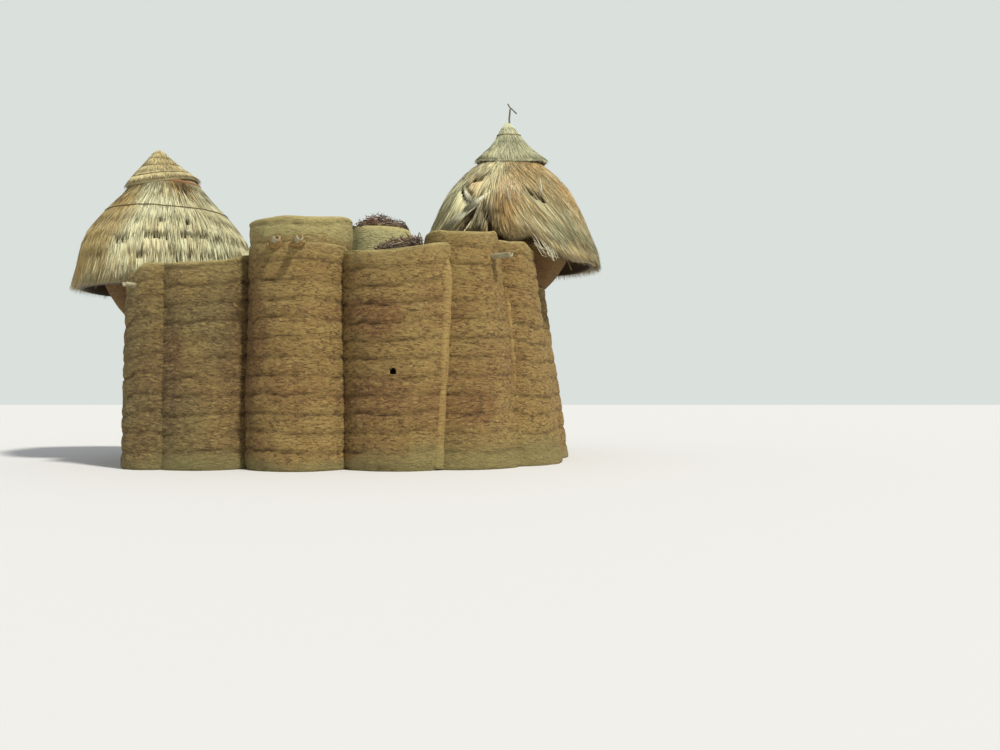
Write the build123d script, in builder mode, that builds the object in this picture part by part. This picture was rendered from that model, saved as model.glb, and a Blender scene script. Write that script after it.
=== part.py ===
from build123d import *
from math import atan2, cos, degrees, hypot, radians, sin
import os

os.makedirs("parts", exist_ok=True)

# Earthen two-storey house of round towers joined by bowed curtain walls, with
# thatched granaries on two of its towers. Millimetres, +Z up, foot at z = 0.
# The seen facade looks towards -Y and the entrance is in the far wall.

# Wall thickness, the same round the house
foot_thickness = 300
rim_thickness = 170
rim_rounding = 55
seat_gap = 0.4

# Towers: plan centre, radius at the foot, radius at the rim, height of the rim
west_tower_x = -2600
west_tower_y = -2360
west_tower_foot = 620
west_tower_rim = 560
west_tower_height = 3290

great_tower_x = -260
great_tower_y = -2350
great_tower_foot = 975
great_tower_rim = 852
great_tower_height = 3980
great_tower_seam = 3600

turret_x = 2357
turret_y = -1890
turret_foot = 1126
turret_rim = 653
turret_height = 3870

east_granary_x = 3190
east_granary_y = 120
east_granary_foot = 1180
east_granary_rim = 720
east_granary_height = 3220

rear_east_tower_x = 1660
rear_east_tower_y = 2320
rear_east_tower_foot = 1000
rear_east_tower_rim = 850
rear_east_tower_height = 3500

rear_west_tower_x = -1740
rear_west_tower_y = 2170
rear_west_tower_foot = 1000
rear_west_tower_rim = 850
rear_west_tower_height = 3400

west_granary_x = -3100
west_granary_y = -540
west_granary_foot = 720
west_granary_rim = 660
west_granary_height = 2500

# Curtain walls: bowed arcs between two towers, given the same way
west_wall_x = -1810
west_wall_y = -2160
west_wall_foot = 950
west_wall_rim = 900
west_wall_height = 3400

front_wall_x = 1360
front_wall_y = -2170
front_wall_foot = 1090
front_wall_rim = 1020
front_wall_height = 3600

east_wall_x = 3010
east_wall_y = -1180
east_wall_foot = 1180
east_wall_rim = 620
east_wall_height = 3790

rear_east_wall_x = 2390
rear_east_wall_y = 1320
rear_east_wall_foot = 1050
rear_east_wall_rim = 850
rear_east_wall_height = 3400

entrance_wall_x = -40
entrance_wall_y = 570
entrance_wall_foot = 2200
entrance_wall_rim = 2100
entrance_wall_height = 3300

rear_west_wall_x = -2190
rear_west_wall_y = 770
rear_west_wall_foot = 1050
rear_west_wall_rim = 920
rear_west_wall_height = 3300

west_side_wall_x = -2740
west_side_wall_y = -1430
west_side_wall_foot = 620
west_side_wall_rim = 560
west_side_wall_height = 3200

# Doorways
door_width = 760
door_height = 1500
lintel_bearing = 200
lintel_log_radius = 55
lintel_log_count = 2
inner_door_width = 420
inner_door_height = 1050

# Direction that each tower's low inner doorway faces, in degrees from +X
west_tower_facing = 0
great_tower_facing = 90
turret_facing = 180
east_granary_facing = 180
rear_east_tower_facing = -90
rear_west_tower_facing = -90
west_granary_facing = 0

# Vent through the front wall
vent_radius = 45
vent_height = 1565
vent_bearing = -91

# Terrace and tower roofs
terrace_level = 2860
terrace_thickness = 180
joist_radius = 38
joist_spacing = 430
beam_radius = 80
beam_rows = 3
beam_spacing = 950
beam_length = 3700
beam_middle_x = -100
beam_middle_y = 0
post_radius = 115
post_spacing = 1400
roof_thickness = 150
turret_roof_level = 3440
rear_roof_drop = 420

# Water spouts, half-round hollowed logs
spout_radius = 60
spout_wall = 16
spout_reach = 330
spout_tail = 270
great_spout_west_bearing = -106
great_spout_east_bearing = -82
great_spout_aim = -70
turret_spout_bearing = -35
west_spout_drop = 330
west_spout_bearing = -118
west_spout_reach = 120

# Granary pots, earth shells that widen upwards and close to a mouth
pot_thickness = 95
pot_floor = 110
pot_bulge = 50
west_pot_belly = 1150
west_pot_belly_height = 760
west_pot_mouth = 730
west_pot_height = 1650
east_pot_belly = 1200
east_pot_belly_height = 700
east_pot_mouth = 760
east_pot_height = 1450
middle_pot_x = 888
middle_pot_y = -850
middle_pot_radius = 545
middle_pot_height = 1390
middle_pot_mouth = 260
middle_pot_shoulder = 190

# Thatched roofs: eave, bulge and shoulder of the skirt, then the cap
west_eave_radius = 1660
west_eave_level = 3060
west_bulge_radius = 1440
west_bulge_level = 3960
west_shoulder_radius = 640
west_shoulder_level = 5010
west_cap_tip_level = 5710
east_eave_radius = 1730
east_eave_level = 3580
east_bulge_radius = 1450
east_bulge_level = 4460
east_shoulder_radius = 720
east_shoulder_level = 5600
east_cap_tip_level = 6390
bundle_count = 12
bundle_bearing = -70
east_torn_level = 3940
east_torn_bundles = 3
eave_thickness = 210
shoulder_thickness = 170
cap_thickness = 70
cap_tip_radius = 60
cap_overhang = 35
peak_radius = 150
rafter_radius = 24
rafter_count = 12
rafter_end_gap = 90
thatch_clearance = 15
ring_height = 90
tie_radius = 13
tie_count = 2

# Forked finial stick
finial_radius = 22
finial_socket = 150
finial_fork_height = 300
finial_stub_length = 100
finial_branch_length = 175
finial_branch_radius = 15

# Piles of dry branches, as closed heaps
pot_pile_radius = 490
pot_pile_height = 310
wood_pile_x = 1250
wood_pile_y = -1750
wood_pile_radius = 320
wood_pile_height = 1070
heap_crown = 0.5
heap_rounding = 0.3


def write(piece, name):
    """Label a finished piece and write its STEP file."""
    piece.label = name
    export_step(piece, f"parts/{name}.step")


# The plan's origin is moved to the middle of the house's outline
west_reach = west_granary_x - west_eave_radius
east_reach = east_granary_x + east_eave_radius
shift_x = -(west_reach + east_reach) / 2


def radius_at(foot, rim, height, level):
    """Outer radius of a tapering wall at one level."""
    return foot + (rim - foot) * level / height


great_spout_radius = radius_at(
    great_tower_foot, great_tower_rim, great_tower_height, great_tower_seam
)
spout_aim_angle = radians(great_spout_aim)
front_reach = (
    great_tower_y
    + great_spout_radius * sin(radians(great_spout_east_bearing))
    + spout_reach * sin(spout_aim_angle)
    - spout_radius * cos(spout_aim_angle)
)
rear_reach = rear_east_tower_y + rear_east_tower_foot
shift_y = -(front_reach + rear_reach) / 2


class Lobe:
    """One round wall of the plan: centre, tapering radius and height."""

    def __init__(self, x, y, foot, rim, height):
        self.x = x + shift_x
        self.y = y + shift_y
        self.foot = foot
        self.rim = rim
        self.height = height

    def outer(self, level):
        return radius_at(self.foot, self.rim, self.height, level)

    def thickness(self, level):
        return radius_at(foot_thickness, rim_thickness, self.height, level)

    def inner(self, level):
        return self.outer(level) - self.thickness(level)


west_tower = Lobe(west_tower_x, west_tower_y, west_tower_foot, west_tower_rim, west_tower_height)
great_tower = Lobe(
    great_tower_x, great_tower_y, great_tower_foot, great_tower_rim, great_tower_height
)
turret = Lobe(turret_x, turret_y, turret_foot, turret_rim, turret_height)
east_granary_tower = Lobe(
    east_granary_x, east_granary_y, east_granary_foot, east_granary_rim, east_granary_height
)
rear_east_tower = Lobe(
    rear_east_tower_x,
    rear_east_tower_y,
    rear_east_tower_foot,
    rear_east_tower_rim,
    rear_east_tower_height,
)
rear_west_tower = Lobe(
    rear_west_tower_x,
    rear_west_tower_y,
    rear_west_tower_foot,
    rear_west_tower_rim,
    rear_west_tower_height,
)
west_granary_tower = Lobe(
    west_granary_x, west_granary_y, west_granary_foot, west_granary_rim, west_granary_height
)
west_wall = Lobe(west_wall_x, west_wall_y, west_wall_foot, west_wall_rim, west_wall_height)
front_wall = Lobe(front_wall_x, front_wall_y, front_wall_foot, front_wall_rim, front_wall_height)
east_wall = Lobe(east_wall_x, east_wall_y, east_wall_foot, east_wall_rim, east_wall_height)
rear_east_wall = Lobe(
    rear_east_wall_x, rear_east_wall_y, rear_east_wall_foot, rear_east_wall_rim,
    rear_east_wall_height,
)
entrance_wall = Lobe(
    entrance_wall_x, entrance_wall_y, entrance_wall_foot, entrance_wall_rim, entrance_wall_height
)
rear_west_wall = Lobe(
    rear_west_wall_x, rear_west_wall_y, rear_west_wall_foot, rear_west_wall_rim,
    rear_west_wall_height,
)
west_side_wall = Lobe(
    west_side_wall_x, west_side_wall_y, west_side_wall_foot, west_side_wall_rim,
    west_side_wall_height,
)

# Towers in order round the house, then each curtain between its two towers
towers = [
    west_tower,
    great_tower,
    turret,
    east_granary_tower,
    rear_east_tower,
    rear_west_tower,
    west_granary_tower,
]
curtains = [
    (west_wall, west_tower, great_tower),
    (front_wall, great_tower, turret),
    (east_wall, turret, east_granary_tower),
    (rear_east_wall, east_granary_tower, rear_east_tower),
    (entrance_wall, rear_east_tower, rear_west_tower),
    (rear_west_wall, rear_west_tower, west_granary_tower),
    (west_side_wall, west_granary_tower, west_tower),
]
house_reach = east_reach - west_reach


def shell(lobe, low, high, rounded):
    """Ring of tapering earth wall between two levels."""
    outer_low = lobe.outer(low)
    outer_high = lobe.outer(high)
    inner_low = lobe.inner(low)
    inner_high = lobe.inner(high)
    with BuildPart() as ring:
        with BuildSketch(Plane.XZ) as profile:
            with BuildLine():
                Polyline(
                    (inner_low, low),
                    (outer_low, low),
                    (outer_high, high),
                    (inner_high, high),
                    close=True,
                )
            make_face()
            if rounded:
                fillet(profile.vertices().group_by(Axis.Y)[-1], rim_rounding)
        revolve(axis=Axis.Z)
    return ring.part.moved(Location((lobe.x, lobe.y, 0)))


def core(lobe, clearance):
    """Solid frustum that fills a lobe, grown by a clearance."""
    with BuildPart() as frustum:
        Cone(
            lobe.foot + clearance,
            lobe.rim + clearance,
            lobe.height,
            align=(Align.CENTER, Align.CENTER, Align.MIN),
        )
    return frustum.part.moved(Location((lobe.x, lobe.y, 0)))


def tall_core(lobe, clearance, top):
    """Frustum of a tower carried on upwards with the same taper."""
    with BuildPart() as frustum:
        Cone(
            lobe.foot + clearance,
            lobe.outer(top) + clearance,
            top,
            align=(Align.CENTER, Align.CENTER, Align.MIN),
        )
    return frustum.part.moved(Location((lobe.x, lobe.y, 0)))


def build_tower(lobe, top, rounded, facing):
    """Tower wall with a low doorway on its inner side."""
    ring = shell(lobe, 0, top, rounded)
    with BuildPart() as wall:
        add(ring)
        with Locations(Location((lobe.x, lobe.y, 0), (0, 0, facing))):
            Box(
                lobe.foot + foot_thickness,
                inner_door_width,
                inner_door_height,
                align=(Align.MIN, Align.CENTER, Align.MIN),
                mode=Mode.SUBTRACT,
            )
    return wall.part


def build_curtain(lobe, first, second):
    """Bowed wall on the outer side of the line between two towers."""
    ring = shell(lobe, 0, lobe.height, True)
    run = degrees(atan2(second.y - first.y, second.x - first.x))
    middle = Location(((first.x + second.x) / 2, (first.y + second.y) / 2, 0), (0, 0, run))
    first_core = tall_core(first, seat_gap, lobe.height + foot_thickness)
    second_core = tall_core(second, seat_gap, lobe.height + foot_thickness)
    with BuildPart() as wall:
        add(ring)
        with Locations(middle):
            Box(
                house_reach,
                house_reach,
                lobe.height,
                align=(Align.CENTER, Align.MAX, Align.MIN),
                mode=Mode.INTERSECT,
            )
        add(first_core, mode=Mode.SUBTRACT)
        add(second_core, mode=Mode.SUBTRACT)
    return wall.part



def pot_solid(foot, belly, mouth, low, belly_level, high):
    """Solid of revolution in the outline of a granary pot."""
    rising = ((foot + belly) / 2, (low + belly_level) / 2)
    closing = ((belly + mouth) / 2 + pot_bulge, (belly_level + high) / 2)
    with BuildPart() as pot:
        with BuildSketch(Plane.XZ):
            with BuildLine():
                Line((0, low), (foot, low))
                ThreePointArc((foot, low), (rising[0] + pot_bulge, rising[1]), (belly, belly_level))
                ThreePointArc((belly, belly_level), closing, (mouth, high))
                Line((mouth, high), (0, high))
                Line((0, high), (0, low))
            make_face()
        revolve(axis=Axis.Z)
    return pot.part


class Granary:
    """Earth pot on a tower with a thatched skirt and cap over it."""

    def __init__(self, tower, belly, belly_height, mouth, height, eave, bulge, shoulder, tip):
        self.tower = tower
        self.base = tower.height
        self.belly = belly
        self.belly_level = self.base + belly_height
        self.mouth = mouth
        self.rim_level = self.base + height
        self.eave_radius, self.eave_level = eave
        self.bulge_radius, self.bulge_level = bulge
        self.shoulder_radius, self.shoulder_level = shoulder
        self.tip_level = tip
        self.seat_radius = self.shoulder_radius - cap_thickness
        self.cap_slope = (tip - self.shoulder_level) / self.shoulder_radius
        self.peak_level = self.shoulder_level + (self.seat_radius - peak_radius) * self.cap_slope
        self.low_line = self.eave_radius - eave_thickness
        self.high_line = self.seat_radius - shoulder_thickness
        self.line_rise = self.shoulder_level - self.eave_level
        self.line_run = self.low_line - self.high_line
        self.line_length = hypot(self.line_rise, self.line_run)

    def place(self):
        return Location((self.tower.x, self.tower.y, 0))

    def lining(self, level, depth):
        """Radius of a cone that lies a given depth inside the thatch."""
        share = (level - self.eave_level) / self.line_rise
        return self.low_line - self.line_run * share - depth * self.line_length / self.line_rise

    def outline(self, clearance):
        """Solid outline of the pot, grown by a clearance."""
        return pot_solid(
            self.tower.rim + clearance,
            self.belly + clearance,
            self.mouth + clearance,
            self.base - clearance,
            self.belly_level,
            self.rim_level + clearance,
        ).moved(self.place())


west_granary = Granary(
    west_granary_tower,
    west_pot_belly,
    west_pot_belly_height,
    west_pot_mouth,
    west_pot_height,
    (west_eave_radius, west_eave_level),
    (west_bulge_radius, west_bulge_level),
    (west_shoulder_radius, west_shoulder_level),
    west_cap_tip_level,
)
east_granary = Granary(
    east_granary_tower,
    east_pot_belly,
    east_pot_belly_height,
    east_pot_mouth,
    east_pot_height,
    (east_eave_radius, east_eave_level),
    (east_bulge_radius, east_bulge_level),
    (east_shoulder_radius, east_shoulder_level),
    east_cap_tip_level,
)


def beside_granaries(wall):
    """Cut a wall back where a granary pot swells over it."""
    west_pot = west_granary.outline(seat_gap)
    east_pot = east_granary.outline(seat_gap)
    with BuildPart() as trimmed:
        add(wall)
        add(west_pot, mode=Mode.SUBTRACT)
        add(east_pot, mode=Mode.SUBTRACT)
    return trimmed.part


def half_log(centre, level, wall_radius, bearing, aim, reach):
    """Lower half of a hollowed log that passes out through a round wall."""
    start_x = centre.x + wall_radius * cos(radians(bearing))
    start_y = centre.y + wall_radius * sin(radians(bearing))
    axis = Plane(
        origin=(start_x, start_y, level),
        x_dir=(-sin(radians(aim)), cos(radians(aim)), 0),
        z_dir=(cos(radians(aim)), sin(radians(aim)), 0),
    )
    tail = axis.offset(-spout_tail)
    with BuildPart() as log:
        with BuildSketch(tail):
            Circle(spout_radius)
            Circle(spout_radius - spout_wall, mode=Mode.SUBTRACT)
            with Locations((0, spout_radius)):
                Rectangle(2 * spout_radius, 2 * spout_radius, mode=Mode.SUBTRACT)
        extrude(amount=spout_tail + reach)
    with BuildPart() as hole:
        with BuildSketch(tail):
            Circle(spout_radius + seat_gap)
        extrude(amount=spout_tail + reach)
    return log.part, hole.part


def with_holes(wall, holes):
    """Cut the passages of the spouts through a wall."""
    with BuildPart() as pierced:
        add(wall)
        for hole in holes:
            add(hole, mode=Mode.SUBTRACT)
    return pierced.part


def joined(pieces):
    """Like pieces that share a node, as solids that do not touch."""
    with BuildPart() as group:
        for piece in pieces:
            add(piece)
    return group.part


# Water spouts of the great tower, the turret and the west tower
great_spouts = []
great_spout_holes = []
for bearing in (great_spout_west_bearing, great_spout_east_bearing):
    log, hole = half_log(
        great_tower, great_tower_seam, great_tower.outer(great_tower_seam), bearing,
        great_spout_aim, spout_reach,
    )
    great_spouts.append(log)
    great_spout_holes.append(hole)
write(joined(great_spouts), "great_tower_spouts")

turret_spout_level = turret_roof_level + spout_radius + seat_gap
turret_log, turret_hole = half_log(
    turret, turret_spout_level, turret.outer(turret_spout_level), turret_spout_bearing,
    turret_spout_bearing, spout_reach,
)
write(turret_log, "turret_spout")

west_spout_level = west_tower_height - west_spout_drop
west_log, west_hole = half_log(
    west_tower, west_spout_level, west_tower.outer(west_spout_level),
    west_spout_bearing, west_spout_bearing, west_spout_reach,
)
write(west_log, "west_tower_spout")

# Round towers
plain_west_tower = build_tower(west_tower, west_tower.height, True, west_tower_facing)
plain_great_tower = build_tower(great_tower, great_tower_seam, False, great_tower_facing)
plain_turret = build_tower(turret, turret.height, True, turret_facing)
plain_east_granary_tower = build_tower(
    east_granary_tower, east_granary_tower.height, False, east_granary_facing
)
write(with_holes(plain_west_tower, [west_hole]), "west_tower")
write(with_holes(plain_great_tower, great_spout_holes), "great_tower")
write(shell(great_tower, great_tower_seam, great_tower.height, True), "great_tower_parapet")
write(with_holes(plain_turret, [turret_hole]), "turret")
write(with_holes(plain_east_granary_tower, [core(turret, seat_gap)]), "east_granary_tower")
write(
    build_tower(west_granary_tower, west_granary_tower.height, False, west_granary_facing),
    "west_granary_tower",
)
write(
    build_tower(rear_east_tower, rear_east_tower.height, True, rear_east_tower_facing),
    "rear_east_tower",
)
write(
    build_tower(rear_west_tower, rear_west_tower.height, True, rear_west_tower_facing),
    "rear_west_tower",
)

# Curtain walls, cut where the granary pots swell over them
write(build_curtain(west_wall, west_tower, great_tower), "west_wall")
east_curtain = build_curtain(east_wall, turret, east_granary_tower)
rear_east_curtain = build_curtain(rear_east_wall, east_granary_tower, rear_east_tower)
rear_west_curtain = build_curtain(rear_west_wall, rear_west_tower, west_granary_tower)
west_side_curtain = build_curtain(west_side_wall, west_granary_tower, west_tower)
write(beside_granaries(east_curtain), "east_wall")
write(beside_granaries(rear_east_curtain), "rear_east_wall")
write(beside_granaries(rear_west_curtain), "rear_west_wall")
write(beside_granaries(west_side_curtain), "west_side_wall")

# Front wall with its small round vent
front_curtain = build_curtain(front_wall, great_tower, turret)
vent_angle = radians(vent_bearing)
vent_axis = Plane(
    origin=(front_wall.x, front_wall.y, vent_height),
    z_dir=(cos(vent_angle), sin(vent_angle), 0),
)
with BuildPart() as pierced_front:
    add(front_curtain)
    with BuildSketch(vent_axis):
        Circle(vent_radius)
    extrude(amount=front_wall.foot + foot_thickness, mode=Mode.SUBTRACT)
write(pierced_front.part, "front_wall")

# Entrance wall, split beside and over its doorway, on a lintel of two logs
entrance_curtain = build_curtain(entrance_wall, rear_east_tower, rear_west_tower)
lintel_width = door_width + 2 * lintel_bearing
lintel_top = door_height + 2 * lintel_log_radius + 2 * seat_gap
doorway_place = Location((entrance_wall.x, entrance_wall.y, 0))
doorway_depth = entrance_wall.foot + foot_thickness
with BuildPart() as wall_beside_door:
    add(entrance_curtain)
    with Locations(doorway_place):
        Box(
            door_width, doorway_depth, door_height,
            align=(Align.CENTER, Align.MIN, Align.MIN), mode=Mode.SUBTRACT,
        )
    with Locations(doorway_place * Location((0, 0, door_height))):
        Box(
            lintel_width, doorway_depth, entrance_wall.height,
            align=(Align.CENTER, Align.MIN, Align.MIN), mode=Mode.SUBTRACT,
        )
beside_door = wall_beside_door.part.solids().sort_by(Axis.X)
write(beside_door[0], "entrance_wall_west")
write(beside_door[-1], "entrance_wall_east")
with BuildPart() as wall_over_door:
    add(entrance_curtain)
    with Locations(doorway_place * Location((0, 0, lintel_top))):
        Box(
            lintel_width, doorway_depth, entrance_wall.height,
            align=(Align.CENTER, Align.MIN, Align.MIN), mode=Mode.INTERSECT,
        )
write(wall_over_door.part, "entrance_wall_over_door")

lintel_level = door_height + lintel_log_radius + seat_gap
lintel_middle = entrance_wall.y + entrance_wall.outer(lintel_level) - (
    entrance_wall.thickness(lintel_level) / 2
)
lintel_plane = Plane(
    origin=(entrance_wall.x - lintel_width / 2 + seat_gap, lintel_middle, lintel_level),
    x_dir=(0, 1, 0),
    z_dir=(1, 0, 0),
)
with BuildPart() as door_lintel:
    with BuildSketch(lintel_plane):
        with GridLocations(2 * lintel_log_radius + seat_gap, 0, lintel_log_count, 1):
            Circle(lintel_log_radius)
    extrude(amount=lintel_width - 2 * seat_gap)
write(door_lintel.part, "door_lintel")


def terrace_region(low, high):
    """Everything inside the walls between two levels."""
    with BuildPart() as region:
        with BuildSketch(Plane.XY.offset(low)):
            with BuildLine():
                Polyline([(tower.x, tower.y) for tower in towers], close=True)
            make_face()
            for lobe, first, second in curtains[:-1]:
                with Locations((lobe.x, lobe.y)):
                    Circle(min(lobe.inner(low), lobe.inner(high)) - seat_gap)
            for tower in towers:
                with Locations((tower.x, tower.y)):
                    Circle(tower.outer(low) + seat_gap, mode=Mode.SUBTRACT)
        extrude(amount=high - low)
    return region.part.solids().sort_by(SortBy.VOLUME)[-1]


# Flat roofs: the terrace, and a disc inside each taller tower
terrace_underside = terrace_level - terrace_thickness
west_pot_outline = west_granary.outline(seat_gap)
with BuildPart() as terrace_floor:
    add(terrace_region(terrace_underside, terrace_level))
    add(west_pot_outline, mode=Mode.SUBTRACT)
write(terrace_floor.part.solids().sort_by(SortBy.VOLUME)[-1], "terrace_floor")


def roof_disc(lobe, level):
    """Flat earth roof that fits inside a tower."""
    radius = min(lobe.inner(level), lobe.inner(level - roof_thickness)) - seat_gap
    with BuildPart() as disc:
        with Locations((lobe.x, lobe.y, level)):
            Cylinder(
                radius, roof_thickness, align=(Align.CENTER, Align.CENTER, Align.MAX)
            )
    return disc.part


great_roof_level = great_tower_seam - spout_radius - seat_gap
west_roof_level = west_spout_level - spout_radius - seat_gap
write(roof_disc(great_tower, great_roof_level), "great_tower_roof")
write(roof_disc(turret, turret_roof_level), "turret_roof")
write(roof_disc(west_tower, west_roof_level), "west_tower_roof")
write(
    joined(
        [
            roof_disc(rear_east_tower, rear_east_tower.height - rear_roof_drop),
            roof_disc(rear_west_tower, rear_west_tower.height - rear_roof_drop),
        ]
    ),
    "rear_tower_roofs",
)

# Joists under the terrace, beams under the joists, forked posts under the beams
joist_level = terrace_underside - joist_radius - seat_gap
beam_level = joist_level - joist_radius - beam_radius - seat_gap
joist_rows = int(beam_length / joist_spacing) + 1
inside = terrace_region(joist_level - joist_radius, terrace_underside)
with BuildPart() as terrace_joists:
    with BuildSketch(Plane.XZ.offset(-house_reach / 2)):
        with Locations((beam_middle_x + shift_x, joist_level)):
            with GridLocations(joist_spacing, 0, joist_rows, 1):
                Circle(joist_radius)
    extrude(amount=house_reach)
    add(inside, mode=Mode.INTERSECT)
    add(west_pot_outline, mode=Mode.SUBTRACT)
write(terrace_joists.part, "terrace_joists")

beam_plane = Plane(
    origin=(beam_middle_x + shift_x - beam_length / 2, beam_middle_y + shift_y, beam_level),
    x_dir=(0, 1, 0),
    z_dir=(1, 0, 0),
)
with BuildPart() as terrace_beams:
    with BuildSketch(beam_plane):
        with GridLocations(beam_spacing, 0, beam_rows, 1):
            Circle(beam_radius)
    extrude(amount=beam_length)
write(terrace_beams.part, "terrace_beams")

with BuildPart() as forked_posts:
    with Locations((beam_middle_x + shift_x, beam_middle_y + shift_y, 0)):
        with GridLocations(post_spacing, beam_spacing, beam_rows, beam_rows):
            Cylinder(
                post_radius, beam_level, align=(Align.CENTER, Align.CENTER, Align.MIN)
            )
    with BuildSketch(beam_plane):
        with GridLocations(beam_spacing, 0, beam_rows, 1):
            Circle(beam_radius + seat_gap)
    extrude(amount=beam_length, mode=Mode.SUBTRACT)
write(forked_posts.part, "forked_posts")


# Bundles of thatch round a roof
bundle_arc = 360 / bundle_count
bundle_bearings = [bundle_bearing + step * bundle_arc for step in range(bundle_count)]


def build_pot(granary):
    """Hollow earth pot with a closed floor and an open mouth."""
    hollow = pot_solid(
        granary.tower.rim - pot_thickness,
        granary.belly - pot_thickness,
        granary.mouth - pot_thickness,
        granary.base + pot_floor,
        granary.belly_level,
        granary.rim_level,
    )
    with BuildPart() as pot:
        add(granary.outline(0))
        add(hollow.moved(granary.place()), mode=Mode.SUBTRACT)
    return pot.part


def build_roof_ring(granary):
    """Ring of bound straw on the rim of the pot, which carries the rafters."""
    depth = 2 * rafter_radius + 2 * seat_gap
    low = granary.rim_level
    high = low + ring_height
    bore = granary.mouth - pot_thickness
    with BuildPart() as ring:
        with BuildSketch(Plane.XZ):
            with BuildLine():
                Polyline(
                    (bore, low),
                    (granary.lining(low, depth), low),
                    (granary.lining(high, depth), high),
                    (bore, high),
                    close=True,
                )
            make_face()
        revolve(axis=Axis.Z)
    return ring.part.moved(granary.place())


def build_rafters(granary):
    """Straight poles under the thatch, from the shoulder down to the eave."""
    depth = rafter_radius + seat_gap
    low = granary.eave_level + rafter_end_gap
    high = granary.shoulder_level - rafter_end_gap
    low_radius = granary.lining(low, depth)
    high_radius = granary.lining(high, depth)
    pole = Plane(
        origin=(low_radius, 0, low),
        x_dir=(0, 1, 0),
        z_dir=(high_radius - low_radius, 0, high - low),
    )
    with BuildPart() as one_rafter:
        with BuildSketch(pole):
            Circle(rafter_radius)
        extrude(amount=hypot(high - low, high_radius - low_radius))
    with BuildPart() as rafters:
        with PolarLocations(0, rafter_count):
            add(one_rafter.part)
    return rafters.part.moved(granary.place())


def build_skirt(granary):
    """Bundles of thatch side by side: bulging outside, a straight cone inside."""
    with BuildPart() as bundle:
        with BuildSketch(Plane.XZ):
            with BuildLine():
                eave = (granary.eave_radius, granary.eave_level)
                shoulder = (granary.shoulder_radius, granary.shoulder_level)
                ThreePointArc(eave, (granary.bulge_radius, granary.bulge_level), shoulder)
                Polyline(
                    shoulder,
                    (granary.high_line, granary.shoulder_level),
                    (granary.low_line, granary.eave_level),
                    eave,
                )
            make_face()
        revolve(axis=Axis.Z, revolution_arc=bundle_arc)
    return [
        bundle.part.moved(granary.place() * Location((0, 0, 0), (0, 0, bearing)))
        for bearing in bundle_bearings
    ]


def build_crown(granary):
    """Tied tops of the bundles, a blunt cone under the cap."""
    with BuildPart() as crown:
        with Locations((0, 0, granary.shoulder_level)):
            Cone(
                granary.seat_radius,
                peak_radius,
                granary.peak_level - granary.shoulder_level,
                align=(Align.CENTER, Align.CENTER, Align.MIN),
            )
    return crown.part.moved(granary.place())


def build_cap(granary):
    """Cone of bound straw seated on the shoulder of the skirt."""
    fit = 2 * seat_gap
    ceiling = granary.peak_level + fit
    with BuildPart() as cap:
        with BuildSketch(Plane.XZ):
            with BuildLine():
                Polyline(
                    (granary.seat_radius + fit, granary.shoulder_level),
                    (granary.shoulder_radius + cap_overhang, granary.shoulder_level),
                    (cap_tip_radius, granary.tip_level),
                    (0, granary.tip_level),
                    (0, ceiling),
                    (peak_radius + fit, ceiling),
                    close=True,
                )
            make_face()
        revolve(axis=Axis.Z)
    return cap.part.moved(granary.place())


def build_ties(granary):
    """Straw ropes round the cap."""
    rise = granary.tip_level - granary.shoulder_level
    run = granary.shoulder_radius + cap_overhang - cap_tip_radius
    slant = hypot(rise, run)
    offset_out = tie_radius + seat_gap
    with BuildPart() as ties:
        with BuildSketch(Plane.XZ):
            for step in range(tie_count):
                share = (step + 1) / (tie_count + 1)
                radius = granary.shoulder_radius + cap_overhang - run * share
                level = granary.shoulder_level + rise * share
                with Locations((radius + offset_out * rise / slant, level + offset_out * run / slant)):
                    Circle(tie_radius)
        revolve(axis=Axis.Z)
    return ties.part.moved(granary.place())


def trimmed_by_walls(thatch, lobes):
    """Cut thatch back where wall tops reach above the eave."""
    with BuildPart() as trimmed:
        add(thatch)
        for lobe in lobes:
            add(core(lobe, thatch_clearance), mode=Mode.SUBTRACT)
    return trimmed.part


def write_skirt(granary, bundles, neighbours, name):
    """Trim the bundles and write them with their crown as one node's solids."""
    pieces = [build_crown(granary).solid()]
    for bundle in bundles:
        pieces.extend(trimmed_by_walls(bundle, neighbours).solids())
    write(Compound(pieces), name)


# West granary: pot, ring, rafters, skirt, cap and its ties
west_neighbours = [west_tower, west_wall, rear_west_wall, west_side_wall]
write(build_pot(west_granary), "west_granary_pot")
write(build_roof_ring(west_granary), "west_roof_ring")
write(trimmed_by_walls(build_rafters(west_granary), west_neighbours), "west_rafters")
write_skirt(west_granary, build_skirt(west_granary), west_neighbours, "west_thatch_skirt")
write(build_cap(west_granary), "west_thatch_cap")
write(build_ties(west_granary), "west_roof_ties")

# East granary, whose thatch is torn away above the turret: its last bundles are short
with BuildPart() as torn_space:
    with BuildSketch(Plane.XZ):
        with Locations((0, east_torn_level)):
            Rectangle(house_reach, east_torn_level, align=(Align.MIN, Align.MAX))
    revolve(axis=Axis.Z, revolution_arc=east_torn_bundles * bundle_arc)
torn_bearing = bundle_bearing - east_torn_bundles * bundle_arc
torn_away = torn_space.part.moved(
    east_granary.place() * Location((0, 0, 0), (0, 0, torn_bearing))
)


def torn_front(thatch):
    """Take away the missing front of the east eave."""
    with BuildPart() as torn:
        add(thatch)
        add(torn_away, mode=Mode.SUBTRACT)
    return torn.part


east_neighbours = [turret, east_wall]
east_bundles = build_skirt(east_granary)
east_skirt = [torn_front(bundle) for bundle in east_bundles[-east_torn_bundles:]]
east_skirt += east_bundles[:-east_torn_bundles]
east_poles = torn_front(build_rafters(east_granary))
write(build_pot(east_granary), "east_granary_pot")
write(build_roof_ring(east_granary), "east_roof_ring")
write(trimmed_by_walls(east_poles, east_neighbours), "east_rafters")
write_skirt(east_granary, east_skirt, east_neighbours, "east_thatch_skirt")
write(build_ties(east_granary), "east_roof_ties")

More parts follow.
